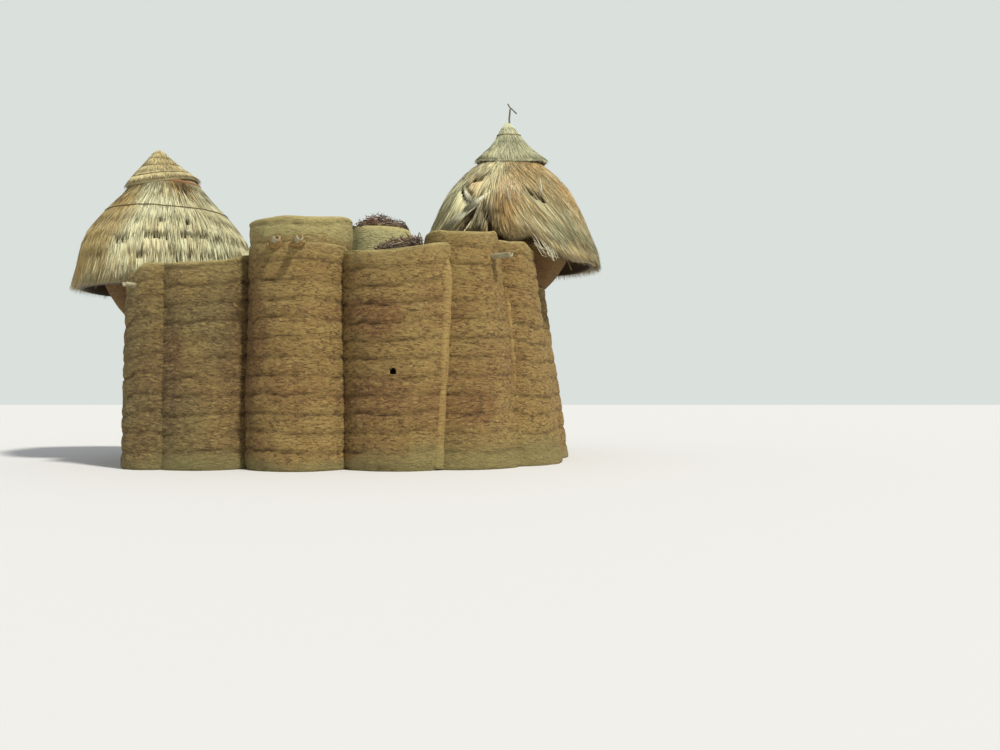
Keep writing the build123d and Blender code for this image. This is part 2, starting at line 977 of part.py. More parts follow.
# The east cap has a socket for the forked finial stick
socket_floor = east_granary.tip_level - finial_socket
with BuildPart() as east_thatch_cap:
    add(build_cap(east_granary))
    with Locations((east_granary_tower.x, east_granary_tower.y, socket_floor)):
        Cylinder(
            finial_radius + seat_gap, finial_socket,
            align=(Align.CENTER, Align.CENTER, Align.MIN), mode=Mode.SUBTRACT,
        )
write(east_thatch_cap.part, "east_thatch_cap")

fork_level = east_granary.tip_level + finial_fork_height
fork = (east_granary_tower.x, east_granary_tower.y, fork_level)
with BuildPart() as finial:
    with Locations((east_granary_tower.x, east_granary_tower.y, socket_floor)):
        Cylinder(
            finial_radius, fork_level + finial_stub_length - socket_floor,
            align=(Align.CENTER, Align.CENTER, Align.MIN),
        )
    with BuildSketch(Plane(origin=fork, z_dir=(4, 0, -3))):
        Circle(finial_branch_radius)
    extrude(amount=finial_branch_length)
write(finial.part, "east_finial")

# Middle granary: a small pot that stands on the terrace
middle_x = middle_pot_x + shift_x
middle_y = middle_pot_y + shift_y


pot_top = terrace_level + middle_pot_height


def middle_pot(inset):
    """Straight-sided pot outline with a rounded shoulder, shrunk by an inset."""
    low = terrace_level + inset
    side = middle_pot_radius - inset
    with BuildPart() as outline:
        with BuildSketch(Plane.XZ) as profile:
            with BuildLine():
                Polyline(
                    (0, low), (side, low), (side, pot_top - inset), (0, pot_top - inset), close=True
                )
            make_face()
            shoulder = profile.vertices().group_by(Axis.Y)[-1].sort_by(Axis.X)[-1]
            fillet(shoulder, middle_pot_shoulder)
        revolve(axis=Axis.Z)
    return outline.part.moved(Location((middle_x, middle_y, 0)))


with BuildPart() as middle_granary_pot:
    add(middle_pot(0))
    add(middle_pot(pot_thickness), mode=Mode.SUBTRACT)
    with Locations((middle_x, middle_y, pot_top)):
        Cylinder(
            middle_pot_mouth, 2 * pot_thickness,
            align=(Align.CENTER, Align.CENTER, Align.MAX), mode=Mode.SUBTRACT,
        )
write(middle_granary_pot.part, "middle_granary_pot")


def heap(x, y, low, radius, height):
    """Rounded heap that stands for a pile of dry branches."""
    with BuildPart() as pile:
        with BuildSketch(Plane.XZ) as profile:
            with BuildLine():
                Polyline(
                    (0, low),
                    (radius, low),
                    (radius * heap_crown, low + height),
                    (0, low + height),
                    close=True,
                )
            make_face()
            crown = profile.vertices().group_by(Axis.Y)[-1].sort_by(Axis.X)[-1]
            fillet(crown, radius * heap_rounding)
        revolve(axis=Axis.Z)
    return pile.part.moved(Location((x, y, 0)))


write(heap(middle_x, middle_y, pot_top, pot_pile_radius, pot_pile_height), "pot_branches")
write(
    heap(
        wood_pile_x + shift_x, wood_pile_y + shift_y, terrace_level, wood_pile_radius,
        wood_pile_height,
    ),
    "terrace_wood_pile",
)
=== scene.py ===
import math

import bpy
import numpy as np
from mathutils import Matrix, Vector
from mathutils.bvhtree import BVHTree


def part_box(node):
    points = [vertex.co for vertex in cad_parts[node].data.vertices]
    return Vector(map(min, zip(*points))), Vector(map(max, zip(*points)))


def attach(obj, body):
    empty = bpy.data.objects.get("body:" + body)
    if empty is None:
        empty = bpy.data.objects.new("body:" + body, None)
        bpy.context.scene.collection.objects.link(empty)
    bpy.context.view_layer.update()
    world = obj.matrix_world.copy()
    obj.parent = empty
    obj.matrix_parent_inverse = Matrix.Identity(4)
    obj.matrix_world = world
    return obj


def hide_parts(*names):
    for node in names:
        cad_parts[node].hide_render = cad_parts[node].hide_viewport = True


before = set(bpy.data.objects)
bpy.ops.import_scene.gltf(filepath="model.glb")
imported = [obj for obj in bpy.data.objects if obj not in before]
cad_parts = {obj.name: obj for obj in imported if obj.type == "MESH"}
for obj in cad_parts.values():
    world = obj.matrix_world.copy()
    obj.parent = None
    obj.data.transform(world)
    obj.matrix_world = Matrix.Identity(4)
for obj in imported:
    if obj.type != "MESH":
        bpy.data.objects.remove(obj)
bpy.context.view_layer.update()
ROOT = "root"
TAU = 2 * math.pi

# Camera of the photograph: focal length in image widths, place and horizon
FOCAL_SHARE = 0.9
EYE_HEIGHT = 1.27
CAMERA_X = 2.93
CAMERA_Y = -17.072
HORIZON_SHIFT = 0.015

# Earth walls
OUTER_STEP = 0.036
COLUMN_STEP = 0.045
INNER_STEP = 0.14
COARSE_STEP = 2.2 * OUTER_STEP
FINE_SPREAD = 1.95
RIM_STEPS = 8
RIM_DIP = 0.016
COURSE_HEIGHT = 0.3
PLAIN_WEAR = 0.046
MOST_WEAR = 0.12
WALL_LAP = 0.16

# Red-brown patches: middle, half width, half height and strength
RED_PATCHES = (
    (-2.63, -2.9, 1.1, 0.35, 1.1, 0.75),
    (-2.28, -2.8, 1.5, 0.25, 1.1, 0.9),
    (-1.23, -2.9, 1.8, 0.4, 1.2, 0.7),
    (-1.98, -2.9, 1.4, 0.6, 0.5, 0.4),
    (-0.98, -2.9, 2.2, 0.3, 0.9, 0.6),
    (-0.38, -3.1, 1.3, 0.6, 0.5, 0.4),
    (0.92, -3.0, 2.5, 0.7, 0.4, 0.75),
    (1.02, -3.0, 1.2, 0.8, 0.5, 0.7),
    (1.82, -3.0, 1.0, 0.5, 0.35, 0.5),
    (2.52, -2.8, 1.0, 0.5, 0.35, 0.7),
    (2.92, -2.3, 1.7, 0.5, 0.5, 0.35),
)


# Smooth repeatable noise

def hashed(ix, iy, iz, seed):
    """Repeatable value from -1 to 1 at whole-number lattice points."""
    n = (ix * 374761393 + iy * 668265263 + iz * 1440662683 + seed * 974634777) & 0xFFFFFFFF
    n = ((n ^ (n >> 13)) * 1274126177) & 0xFFFFFFFF
    n = (n ^ (n >> 16)) & 0xFFFF
    return n / 32767.5 - 1.0


def noise(points, size, seed=0):
    """Smooth noise from -1 to 1 whose lumps are about one size across."""
    p = np.asarray(points, float) / size + 1000.0
    base = np.floor(p).astype(np.int64)
    f = p - base
    f = f * f * (3 - 2 * f)
    total = np.zeros(len(p))
    for dx in (0, 1):
        for dy in (0, 1):
            for dz in (0, 1):
                share = (
                    (f[:, 0] if dx else 1 - f[:, 0])
                    * (f[:, 1] if dy else 1 - f[:, 1])
                    * (f[:, 2] if dz else 1 - f[:, 2])
                )
                total += share * hashed(base[:, 0] + dx, base[:, 1] + dy, base[:, 2] + dz, seed)
    return total


def layered_noise(points, size, octaves, seed=0):
    """Noise with finer and fainter lumps added on."""
    total = np.zeros(len(points))
    for octave in range(octaves):
        total += noise(points, size / 2 ** octave, seed + octave) / 2 ** octave
    return total


def smooth_step(low, high, value):
    """0 below low, 1 above high, and a smooth rise between them."""
    t = np.clip((np.asarray(value, float) - low) / (high - low), 0, 1)
    return t * t * (3 - 2 * t)


# Meshes

def link(name, data):
    """New object of the scene from a mesh or a curve."""
    piece = bpy.data.objects.new(name, data)
    bpy.context.scene.collection.objects.link(piece)
    return piece


def mesh_piece(name, vertices, face_sets, smooth=True):
    """Object from an array of vertices and several arrays of faces."""
    mesh = bpy.data.meshes.new(name)
    vertices = np.asarray(vertices, np.float32)
    mesh.vertices.add(len(vertices))
    mesh.vertices.foreach_set("co", vertices.ravel())
    loops = np.concatenate([np.asarray(f, np.int32).ravel() for f in face_sets])
    corners = np.concatenate([np.full(len(f), np.asarray(f).shape[1]) for f in face_sets])
    starts = np.concatenate([[0], np.cumsum(corners)[:-1]]).astype(np.int32)
    mesh.loops.add(len(loops))
    mesh.loops.foreach_set("vertex_index", loops)
    mesh.polygons.add(len(corners))
    mesh.polygons.foreach_set("loop_start", starts)
    mesh.update(calc_edges=True)
    mesh.validate()
    mesh.polygons.foreach_set("use_smooth", np.full(len(mesh.polygons), smooth))
    return link(name, mesh)


def positions(mesh):
    """Vertices of a mesh as an array."""
    values = np.empty(3 * len(mesh.vertices), np.float32)
    mesh.vertices.foreach_get("co", values)
    return values.reshape(-1, 3).astype(float)


def paint(piece, name, values):
    """Store one number a vertex, or one for all of them, for the material to read."""
    layer = piece.data.attributes.new(name, "FLOAT", "POINT")
    values = np.broadcast_to(values, len(piece.data.vertices))
    layer.data.foreach_set("value", np.array(values, np.float32))


def paint_earth(piece, **layers):
    """Layers that the earth materials read, nothing where none is given."""
    for name in ("joint", "rim", "foot", "red"):
        paint(piece, name, layers.get(name, 0.0))


def grid_faces(rows, columns, wrap_rows, wrap_columns):
    """Quads of a grid of vertices stored row by row."""
    row = np.arange(rows if wrap_rows else rows - 1)
    column = np.arange(columns if wrap_columns else columns - 1)
    r, c = np.meshgrid(row, column, indexing="ij")
    r = r.ravel()
    c = c.ravel()
    r2 = (r + 1) % rows
    c2 = (c + 1) % columns
    corners = [r * columns + c, r * columns + c2, r2 * columns + c2, r2 * columns + c]
    return np.stack(corners, axis=1)


def closed_tube_faces(rows, columns, start=0):
    """Faces of a tube of vertex rings, with a face over each end."""
    ring = start + np.arange(columns)[None, :]
    return [grid_faces(rows, columns, False, True) + start, ring[:, ::-1],
            ring + (rows - 1) * columns]


def solid_tree(node):
    """Search tree over a solid of the frame, to cast rays at it."""
    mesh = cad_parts[node].data
    polygons = [tuple(p.vertices) for p in mesh.polygons]
    return BVHTree.FromPolygons([v.co.copy() for v in mesh.vertices], polygons)


def tubes(name, paths, radii, ups, sides=3, flat=1.0, pointed=True):
    """Many thin closed tubes along paths, each ending in a point or a flat end."""
    count, stations, _ = paths.shape
    along = np.gradient(paths, axis=1)
    along /= np.linalg.norm(along, axis=2, keepdims=True) + 1e-12
    across = np.cross(along, ups)
    across /= np.linalg.norm(across, axis=2, keepdims=True) + 1e-12
    up = np.cross(across, along)
    rings = stations - 1 if pointed else stations
    turn = TAU * np.arange(sides) / sides + math.pi / 2
    offset = (
        np.cos(turn)[None, None, :, None] * across[:, :rings, None, :]
        + flat * np.sin(turn)[None, None, :, None] * up[:, :rings, None, :]
    )
    ring_points = paths[:, :rings, None, :] + radii[:, :rings, None, None] * offset
    each = rings * sides + (1 if pointed else 0)
    vertices = ring_points.reshape(count, rings * sides, 3)
    if pointed:
        vertices = np.concatenate([vertices, paths[:, -1:, :]], axis=1)
    side = np.arange(sides)
    after = (side + 1) % sides
    walls = []
    for ring in range(rings - 1):
        low = ring * sides
        walls.append(
            np.stack([low + side, low + after, low + sides + after, low + sides + side], axis=1)
        )
    walls = np.concatenate(walls)
    starts = (np.arange(count) * each)[:, None, None]
    face_sets = [(starts + walls[None]).reshape(-1, 4)]
    face_sets.append((starts[:, :, 0] + side[::-1][None]).reshape(-1, sides))
    last = (rings - 1) * sides
    if pointed:
        tips = np.stack([last + side, last + after, np.full(sides, rings * sides)], axis=1)
        face_sets.append((starts + tips[None]).reshape(-1, 3))
    else:
        face_sets.append((starts[:, :, 0] + (last + side)[None]).reshape(-1, sides))
    return mesh_piece(name, vertices.reshape(-1, 3), face_sets), each


def settle(piece, slot, *nodes):
    """A piece rides on the house and stands for its CAD nodes; the slot is not used."""
    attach(piece, ROOT)
    if nodes:
        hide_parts(*nodes)


# Materials

def srgb(red, green, blue):
    """Linear colour from 0-255 values as seen on a screen."""
    def one(v):
        """Linear value of one channel."""
        v = v / 255
        return v / 12.92 if v <= 0.04045 else ((v + 0.055) / 1.055) ** 2.4
    return (one(red), one(green), one(blue), 1.0)


class Shader:
    """Small helper that builds one procedural material."""

    def __init__(self, name, roughness):
        self.material = bpy.data.materials.new(name)
        self.material.use_nodes = True
        self.tree = self.material.node_tree
        self.surface = self.tree.nodes["Principled BSDF"]
        self.surface.inputs["Roughness"].default_value = roughness
        self.place = self.node("ShaderNodeTexCoord").outputs["Object"]

    def node(self, kind, inputs=(), **settings):
        """New node, with its inputs plugged in or written."""
        node = self.tree.nodes.new(kind)
        for key, value in settings.items():
            setattr(node, key, value)
        for key, value in inputs:
            self.join(value, node.inputs[key])
        return node

    def join(self, source, target):
        """Plug a socket in, or write a plain number or colour."""
        if isinstance(source, bpy.types.NodeSocket):
            self.tree.links.new(source, target)
        else:
            target.default_value = source

    def stretched(self, scale):
        """Object coordinates stretched along their axes."""
        inputs = (("Vector", self.place), ("Scale", scale))
        return self.node("ShaderNodeMapping", inputs).outputs["Vector"]

    def noise(self, scale, detail=4, rough=0.55, vector=None, distortion=0.0):
        """Cloudy noise from 0 to 1."""
        inputs = (("Vector", vector or self.place), ("Scale", scale), ("Detail", detail),
                  ("Roughness", rough), ("Distortion", distortion))
        return self.node("ShaderNodeTexNoise", inputs).outputs["Fac"]

    def attribute(self, name):
        """Number painted on the vertices."""
        return self.node("ShaderNodeAttribute", attribute_name=name).outputs["Fac"]

    def levels(self, value, low, high):
        """Stretch a value so that low gives 0 and high gives 1."""
        inputs = (("Value", value), ("From Min", low), ("From Max", high))
        return self.node("ShaderNodeMapRange", inputs, clamp=True,
                         interpolation_type="SMOOTHSTEP").outputs["Result"]

    def mix(self, share, a, b):
        """Mix of two colours by a number or a socket."""
        inputs = ((0, share), (6, a), (7, b))
        return self.node("ShaderNodeMix", inputs, data_type="RGBA").outputs[2]

    def tint(self, colour, share, strength, to):
        """Mix another colour in, by a share and its strength."""
        factor = self.node("ShaderNodeMath", ((0, share), (1, strength)), operation="MULTIPLY")
        return self.mix(factor.outputs[0], colour, to)

    def bump(self, height, distance, strength=1.0, under=None):
        """Relief too fine for the mesh, over another relief if one is given."""
        inputs = [("Height", height), ("Distance", distance), ("Strength", strength)]
        if under:
            inputs.append(("Normal", under))
        return self.node("ShaderNodeBump", inputs).outputs["Normal"]

    def finish(self, colour, normal=None):
        """Plug the colour and the relief in, and hand the material over."""
        self.join(colour, self.surface.inputs["Base Color"])
        if normal:
            self.join(normal, self.surface.inputs["Normal"])
        return self.material


def earth_material(name, body, patch, pale, dark, grain=1.0):
    """Hand-laid earth: blotches, pale dried rims, ripples and grit, with painted shade in the
    joints, the ripple hollows and on the west walls, and painted highlight on the ripple crests.
    """
    s = Shader(name, 0.95)
    cloud = s.levels(s.noise(1.3, 5, 0.6, distortion=0.4), 0.36, 0.72)
    colour = s.tint(body, cloud, 0.4, pale)
    colour = s.mix(s.attribute("red"), colour, patch)
    # Painted shade on the west walls, which face away from the sun
    colour = s.mix(s.attribute("west_shade"), colour, WALL_WEST_SHADE)
    ripple = s.noise(10.5, 5, 0.6, vector=s.stretched((1.0, 1.0, 2.7)), distortion=0.9)
    # Painted shade in the hollows of the ripples and painted highlight on their crests
    for share, strength, to in (
        (s.levels(ripple, 0.5, 0.37), 0.72 * grain, dark),
        (s.levels(ripple, 0.52, 0.65), 0.55 * grain, pale),
        (s.levels(s.noise(85.0, 3, 0.65), 0.56, 0.74), 0.35 * grain, dark),
        # Painted shade in the course joints, under each course's lip
        (s.attribute("joint"), 0.8, dark),
        (s.attribute("rim"), 0.75, WALL_LIP),
        (s.attribute("foot"), 0.7, WALL_FOOT),
    ):
        colour = s.tint(colour, share, strength, to)
    coarse = s.bump(ripple, 0.06 * grain)
    return s.finish(colour, s.bump(s.noise(60.0, 4, 0.7), 0.012 * grain, 0.9, coarse))


WALL_FOOT = srgb(136, 128, 80)
WALL_LIP = srgb(186, 168, 108)
# Colour of the painted shade on the west walls
WALL_WEST_SHADE = srgb(112, 102, 66)
WALL_BODY = srgb(152, 122, 68)
WALL_PATCH = srgb(128, 88, 50)
WALL_PALE = srgb(176, 152, 90)
WALL_DARK = srgb(74, 54, 28)
wall_earth = earth_material("wall_earth", WALL_BODY, WALL_PATCH, WALL_PALE, WALL_DARK)
band_plaster = earth_material("band_plaster", srgb(168, 157, 102), srgb(152, 126, 74),
                              srgb(188, 176, 120), srgb(104, 90, 54), grain=0.7)
# A little paler than the wall earth: smoothed earth, with painted highlight where the seam ridges
# catch the light; the spout collars use it too
seam_earth = earth_material("seam_earth", srgb(160, 131, 75), srgb(142, 106, 60),
                            srgb(182, 158, 96), srgb(96, 74, 40), grain=0.7)
roof_earth = earth_material("roof_earth", srgb(148, 124, 76), srgb(126, 98, 60),
                            srgb(170, 150, 98), WALL_DARK, grain=0.5)
pot_earth = earth_material("pot_earth", srgb(118, 88, 44), srgb(98, 64, 34),
                           srgb(138, 108, 58), srgb(60, 38, 18), grain=0.6)
middle_pot_earth = earth_material("middle_pot_earth", srgb(184, 178, 124), srgb(168, 152, 98),
                                  srgb(204, 198, 146), srgb(122, 112, 70), grain=0.6)


def straw_material(name, grey, pale, warm):
    """Dry straw: each stalk has its own shade and warmth, with fine fibres, and its depth layer
    mixes in painted shade.
    """
    s = Shader(name, 0.72)
    colour = s.mix(s.attribute("shade"), grey, pale)
    colour = s.mix(s.attribute("warmth"), colour, warm)
    colour = s.tint(colour, s.levels(s.noise(3.0, 4, 0.6), 0.5, 0.78), 0.3, grey)
    fibre = s.levels(s.noise(90.0, 3, 0.6, vector=s.stretched((1.0, 1.0, 0.2))), 0.55, 0.8)
    colour = s.tint(colour, fibre, 0.35, SHADED_STRAW)
    # Painted shade where the straw lies deep, in gaps, hollows and under eaves
    colour = s.mix(s.attribute("depth"), colour, SHADED_STRAW)
    return s.finish(colour, s.bump(s.noise(110.0, 2, 0.6), 0.004, 0.6))


# Colour of straw in shade, for the painted shade
SHADED_STRAW = srgb(58, 44, 24)
pale_straw = straw_material(
    "pale_straw", srgb(160, 158, 118), srgb(244, 242, 200), srgb(212, 178, 108))
tan_straw = straw_material(
    "tan_straw", srgb(154, 154, 116), srgb(244, 240, 194), srgb(216, 168, 94))
# Pale loose straw, brightened with painted light where the sun runs along its stalks
loose_straw_painted_light = straw_material(
    "loose_straw_painted_light", srgb(196, 192, 150), srgb(255, 252, 222), srgb(216, 168, 94))
cap_gold = straw_material(
    "cap_gold", srgb(172, 162, 112), srgb(242, 234, 184), srgb(214, 182, 116))
cap_grey = straw_material(
    "cap_grey", srgb(172, 174, 138), srgb(236, 236, 196), srgb(206, 192, 140))
# Dark reddish straw of the ring under the west cap: the reddish band there, and painted shadow of
# the cap
binding_and_shadow_straw = straw_material(
    "binding_and_shadow_straw", srgb(150, 108, 66), srgb(196, 146, 92), srgb(178, 112, 60))
rope_straw = straw_material(
    "rope_straw", srgb(112, 98, 66), srgb(150, 132, 90), srgb(140, 104, 62))


def wood_material(name, light, mid, dark, along):
    """Weathered wood with grain along one axis."""
    s = Shader(name, 0.85)
    grain = s.noise(30.0, 5, 0.65, vector=s.stretched(along), distortion=0.3)
    colour = s.mix(s.levels(grain, 0.3, 0.62), mid, light)
    colour = s.tint(colour, s.levels(grain, 0.55, 0.75), 0.7, dark)
    colour = s.mix(s.levels(s.noise(2.2, 4, 0.6), 0.45, 0.75), colour, mid)
    cracks = s.bump(grain, 0.01, 0.8)
    return s.finish(colour, s.bump(s.noise(160.0, 3, 0.6), 0.002, 0.5, cracks))


def twig_material(name, pale, dark, warm):
    """Dry twigs, each with its own shade and warmth."""
    s = Shader(name, 0.85)
    colour = s.mix(s.attribute("shade"), dark, pale)
    colour = s.tint(colour, s.attribute("warmth"), 0.7, warm)
    bark = s.noise(60.0, 4, 0.6)
    colour = s.tint(colour, s.levels(bark, 0.5, 0.7), 0.5, dark)
    return s.finish(colour, s.bump(bark, 0.004, 0.7))


twig_wood = twig_material("twig_wood", srgb(170, 152, 130), srgb(62, 54, 48), srgb(176, 114, 74))
spout_wood = wood_material("spout_wood", srgb(184, 174, 140), srgb(132, 120, 90),
                           srgb(66, 54, 38), (0.2, 0.2, 1))
LOG_TONES = (srgb(146, 122, 92), srgb(112, 88, 64), srgb(62, 46, 32))
post_wood = wood_material("post_wood", *LOG_TONES, (1, 1, 0.12))
beam_wood = wood_material("beam_wood", *LOG_TONES, (0.12, 1, 1))
joist_wood = wood_material("joist_wood", srgb(150, 126, 96), srgb(116, 92, 66), srgb(62, 46, 32),
                           (1, 0.12, 1))
finial_wood = wood_material("finial_wood", srgb(132, 122, 108), srgb(92, 84, 76),
                            srgb(52, 46, 42), (1, 1, 0.15))


# Reading the walls from the frame

PROBE_DEPTH = 0.4
PROBE_TURN = 0.25
PROBE_REACH = 6.0
PROBE_LEVELS = (0.04, 0.8)


class Wall:
    """Round wall of the frame: its plan circle, taper, thickness and arc."""

    def __init__(self, node, out_angle):
        low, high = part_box(node)
        self.out_angle = out_angle
        self.base = low.z
        self.top = high.z
        tree = solid_tree(node)
        middle = (low + high) / 2
        out = Vector((math.cos(out_angle), math.sin(out_angle), 0))
        probe = middle - out * PROBE_DEPTH
        levels = [self.base + share * (self.top - self.base) for share in PROBE_LEVELS]
        circles = []
        for z in levels:
            hits = []
            for turn in (-PROBE_TURN, 0.0, PROBE_TURN):
                ray = Vector((math.cos(out_angle + turn), math.sin(out_angle + turn), 0))
                far = Vector((probe.x, probe.y, z)) + ray * PROBE_REACH
                hits.append(tree.ray_cast(far, -ray)[0])
            x, y, radius = circle_through(*hits)
            inner = tree.ray_cast(Vector((x, y, z)), out)[0]
            circles.append((x, y, radius, radius - math.hypot(inner.x - x, inner.y - y)))
        self.x = (circles[0][0] + circles[1][0]) / 2
        self.y = (circles[0][1] + circles[1][1]) / 2
        self.levels = levels
        self.radii = (circles[0][2], circles[1][2])
        self.walls = (circles[0][3], circles[1][3])

    def outer(self, z):
        """Radius of the outer face at a level."""
        return np.interp(z, self.levels, self.radii) + self.beyond(z, self.radii)

    def thickness(self, z):
        """Thickness of the wall at a level."""
        return np.interp(z, self.levels, self.walls) + self.beyond(z, self.walls)

    def beyond(self, z, values):
        """Carry the straight taper on past the two measured levels."""
        slope = (values[1] - values[0]) / (self.levels[1] - self.levels[0])
        z = np.asarray(z, float)
        return slope * (np.minimum(z - self.levels[0], 0) + np.maximum(z - self.levels[1], 0))


def circle_through(a, b, c):
    """Centre and radius of the plan circle through three points."""
    d = 2 * (a.x * (b.y - c.y) + b.x * (c.y - a.y) + c.x * (a.y - b.y))
    aa = a.x ** 2 + a.y ** 2
    bb = b.x ** 2 + b.y ** 2
    cc = c.x ** 2 + c.y ** 2
    x = (aa * (b.y - c.y) + bb * (c.y - a.y) + cc * (a.y - b.y)) / d
    y = (aa * (c.x - b.x) + bb * (a.x - c.x) + cc * (b.x - a.x)) / d
    return x, y, math.hypot(a.x - x, a.y - y)


# Each wall with the bearing in which it bows out or shows
walls = {
    node: Wall(node, math.radians(angle))
    for node, angle in (
        ("west_tower", -130),
        ("great_tower", -90),
        ("turret", -60),
        ("east_granary_tower", 0),
        ("rear_east_tower", 70),
        ("rear_west_tower", 110),
        ("west_granary_tower", 180),
        ("west_wall", -90),
        ("front_wall", -90),
        ("east_wall", -25),
        ("rear_east_wall", 40),
        ("rear_west_wall", 150),
        ("west_side_wall", 205),
        ("entrance_wall_over_door", 90),
    )
}
great = walls["great_tower"]


def meeting_angle(curtain, tower, z):
    """Angle, seen from a curtain's centre, at which it runs into a tower."""
    dx = tower.x - curtain.x
    dy = tower.y - curtain.y
    apart = math.hypot(dx, dy)
    own = float(curtain.outer(z))
    other = float(tower.outer(min(z, tower.top)))
    cosine = (apart ** 2 + own ** 2 - other ** 2) / (2 * apart * own)
    half = math.acos(max(-1.0, min(1.0, cosine)))
    toward = math.atan2(dy, dx)
    sides = [
        (toward + side - curtain.out_angle + math.pi) % TAU - math.pi for side in (half, -half)
    ]
    return curtain.out_angle + min(sides, key=abs)


def tower_angles(wall):
    """Angles round a tower: fine on its outer side, coarse on its inner side."""
    radius = float(wall.outer(wall.base))
    fine = int(2 * FINE_SPREAD * radius / COLUMN_STEP)
    coarse = int((TAU - 2 * FINE_SPREAD) * radius / COARSE_STEP)
    near = np.linspace(-FINE_SPREAD, FINE_SPREAD, fine, endpoint=False)
    far = np.linspace(FINE_SPREAD, TAU - FINE_SPREAD, coarse, endpoint=False)
    return wall.out_angle + np.concatenate([near, far])


def mud_depth(points, seed):
    """How far the worn surface lies inside the plain one, and its joints."""
    wave = 0.07 * noise(points * (1, 1, 0.4), 0.9, seed) + 0.035 * noise(points, 0.22, seed + 1)
    course = (points[:, 2] + wave) / COURSE_HEIGHT
    part = course - np.floor(course)
    edge = np.abs(2 * part - 1)
    joint = edge ** 8
    broken = smooth_step(-0.75, 0.3, noise(points * (1, 1, 1.6), 0.5, seed + 2))
    pillow = 0.016 * (part - 0.3) ** 2 + 0.006 * edge ** 2
    flat = points * (1, 1, 2.1)
    lumps = 0.010 * layered_noise(points, 0.3, 2, seed + 3)
    ripples = 0.0085 * noise(flat, 0.13, seed + 7) + 0.006 * noise(flat, 0.075, seed + 8)
    sway = 0.022 * noise(points, 1.2, seed + 5)
    depth = PLAIN_WEAR + sway + pillow + (0.006 + 0.019 * broken) * joint + lumps + ripples
    return np.clip(depth, 0.0, MOST_WEAR), joint * (0.25 + 0.75 * broken)


def red_share(points):
    """Where the earth dried red-brown, as a few soft patches and scattered ones."""
    share = 0.35 * smooth_step(0.0, 0.9, layered_noise(points * (1, 1, 1.8), 0.9, 3, 211))
    for x, y, z, wide, tall, strength in RED_PATCHES:
        reach = ((points[:, 0] - x) / wide) ** 2 + ((points[:, 2] - z) / tall) ** 2
        near = smooth_step(1.2, 0.4, np.abs(points[:, 1] - y))
        wander = 0.35 * noise(points, 0.45, 223)
        share = np.maximum(share, strength * near * smooth_step(1.2, 0.2, reach + wander))
    return share


def wall_mesh(name, wall, angles_at, wrapped, seed, lean=(0.0, 0.0), rim_height=0.04, calm=1.0,
              base=None, dip=1.0, proud=0.0):
    """Worn earth wall as one closed mesh over its plan circle."""
    base = wall.base if base is None else base
    top = wall.top
    rise = top - base
    outer_z = np.linspace(base, top - rim_height, int(rise / OUTER_STEP))
    bend = np.linspace(0, math.pi, RIM_STEPS + 2)[1:-1]
    rim_z = top - rim_height + rim_height * np.sin(bend)
    inner_z = np.linspace(top - rim_height, base, max(int(rise / INNER_STEP), 2))
    z = np.concatenate([outer_z, rim_z, inner_z])
    across = np.concatenate(
        [np.zeros(len(outer_z)), (1 - np.cos(bend)) / 2, np.ones(len(inner_z))]
    )
    angles = np.array([angles_at(v) for v in z])
    rows, columns = angles.shape
    z_grid = np.repeat(z[:, None], columns, axis=1)
    lift = (z_grid - base) / rise

    def place(radius):
        """Places along x and y at a radius, with the wall's lean."""
        return (wall.x + radius * np.cos(angles) + lean[0] * lift,
                wall.y + radius * np.sin(angles) + lean[1] * lift)

    # The plain surface, then how far its rim dips and its face is worn
    radius = (wall.outer(z) - across * wall.thickness(z))[:, None] * np.ones((1, columns))
    x, y = place(radius)
    points = np.stack([x.ravel(), y.ravel(), z_grid.ravel()], axis=1)
    drop = dip * RIM_DIP * (1 + noise(points * (1, 1, 0), 0.45, seed + 11))
    drop = drop.reshape(rows, columns) - rim_lift(name.removesuffix("_mud"), wall, x, y)
    z_grid = base + (z_grid - base) * (rise - drop) / rise
    depth, joint = mud_depth(points, seed)
    depth = depth * calm - proud * smooth_step(base, base + 0.3, points[:, 2])
    exposed = np.where(across < 0.5, 1.0 - across, 0.6 * (1 - across) + 0.1)[:, None]
    x, y = place(radius - depth.reshape(rows, columns) * exposed)
    vertices = np.stack([x.ravel(), y.ravel(), z_grid.ravel()], axis=1)
    faces = [grid_faces(rows, columns, True, wrapped)]
    if not wrapped:
        first = np.arange(rows)[None, :] * columns
        faces += [first, first[:, ::-1] + columns - 1]
    piece = mesh_piece(name, vertices, faces)

    # Layers for the material: red patches, joints, pale rim, damp foot, painted shade on the west
    # side
    below = top - drop.ravel() - vertices[:, 2] + 0.02 * noise(points, 0.15, seed)
    near_rim = 0.3 * smooth_step(0.42, 0.05, below + 0.12 * noise(points, 0.4, seed + 1))
    near_rim = np.maximum(near_rim, smooth_step(0.075, 0.035, below))
    damp = 0.34 + 0.45 * smooth_step(0.8, 2.1, points[:, 0]) * smooth_step(-1.0, -2.0, points[:, 1])
    foot = smooth_step(damp, 0.04, points[:, 2] + 0.14 * noise(points, 0.35, 5))
    paint_earth(piece, red=red_share(points), joint=joint * (across < 0.2).repeat(columns),
                rim=near_rim, foot=foot)
    # The west walls face away from the sun: painted shade, darker and greyer
    west_shade = smooth_step(-0.9, -1.4, points[:, 0]) * smooth_step(0.0, -1.0, points[:, 1])
    paint(piece, "west_shade", west_shade * (0.52 + 0.25 * noise(points, 0.5, 7)))
    return piece


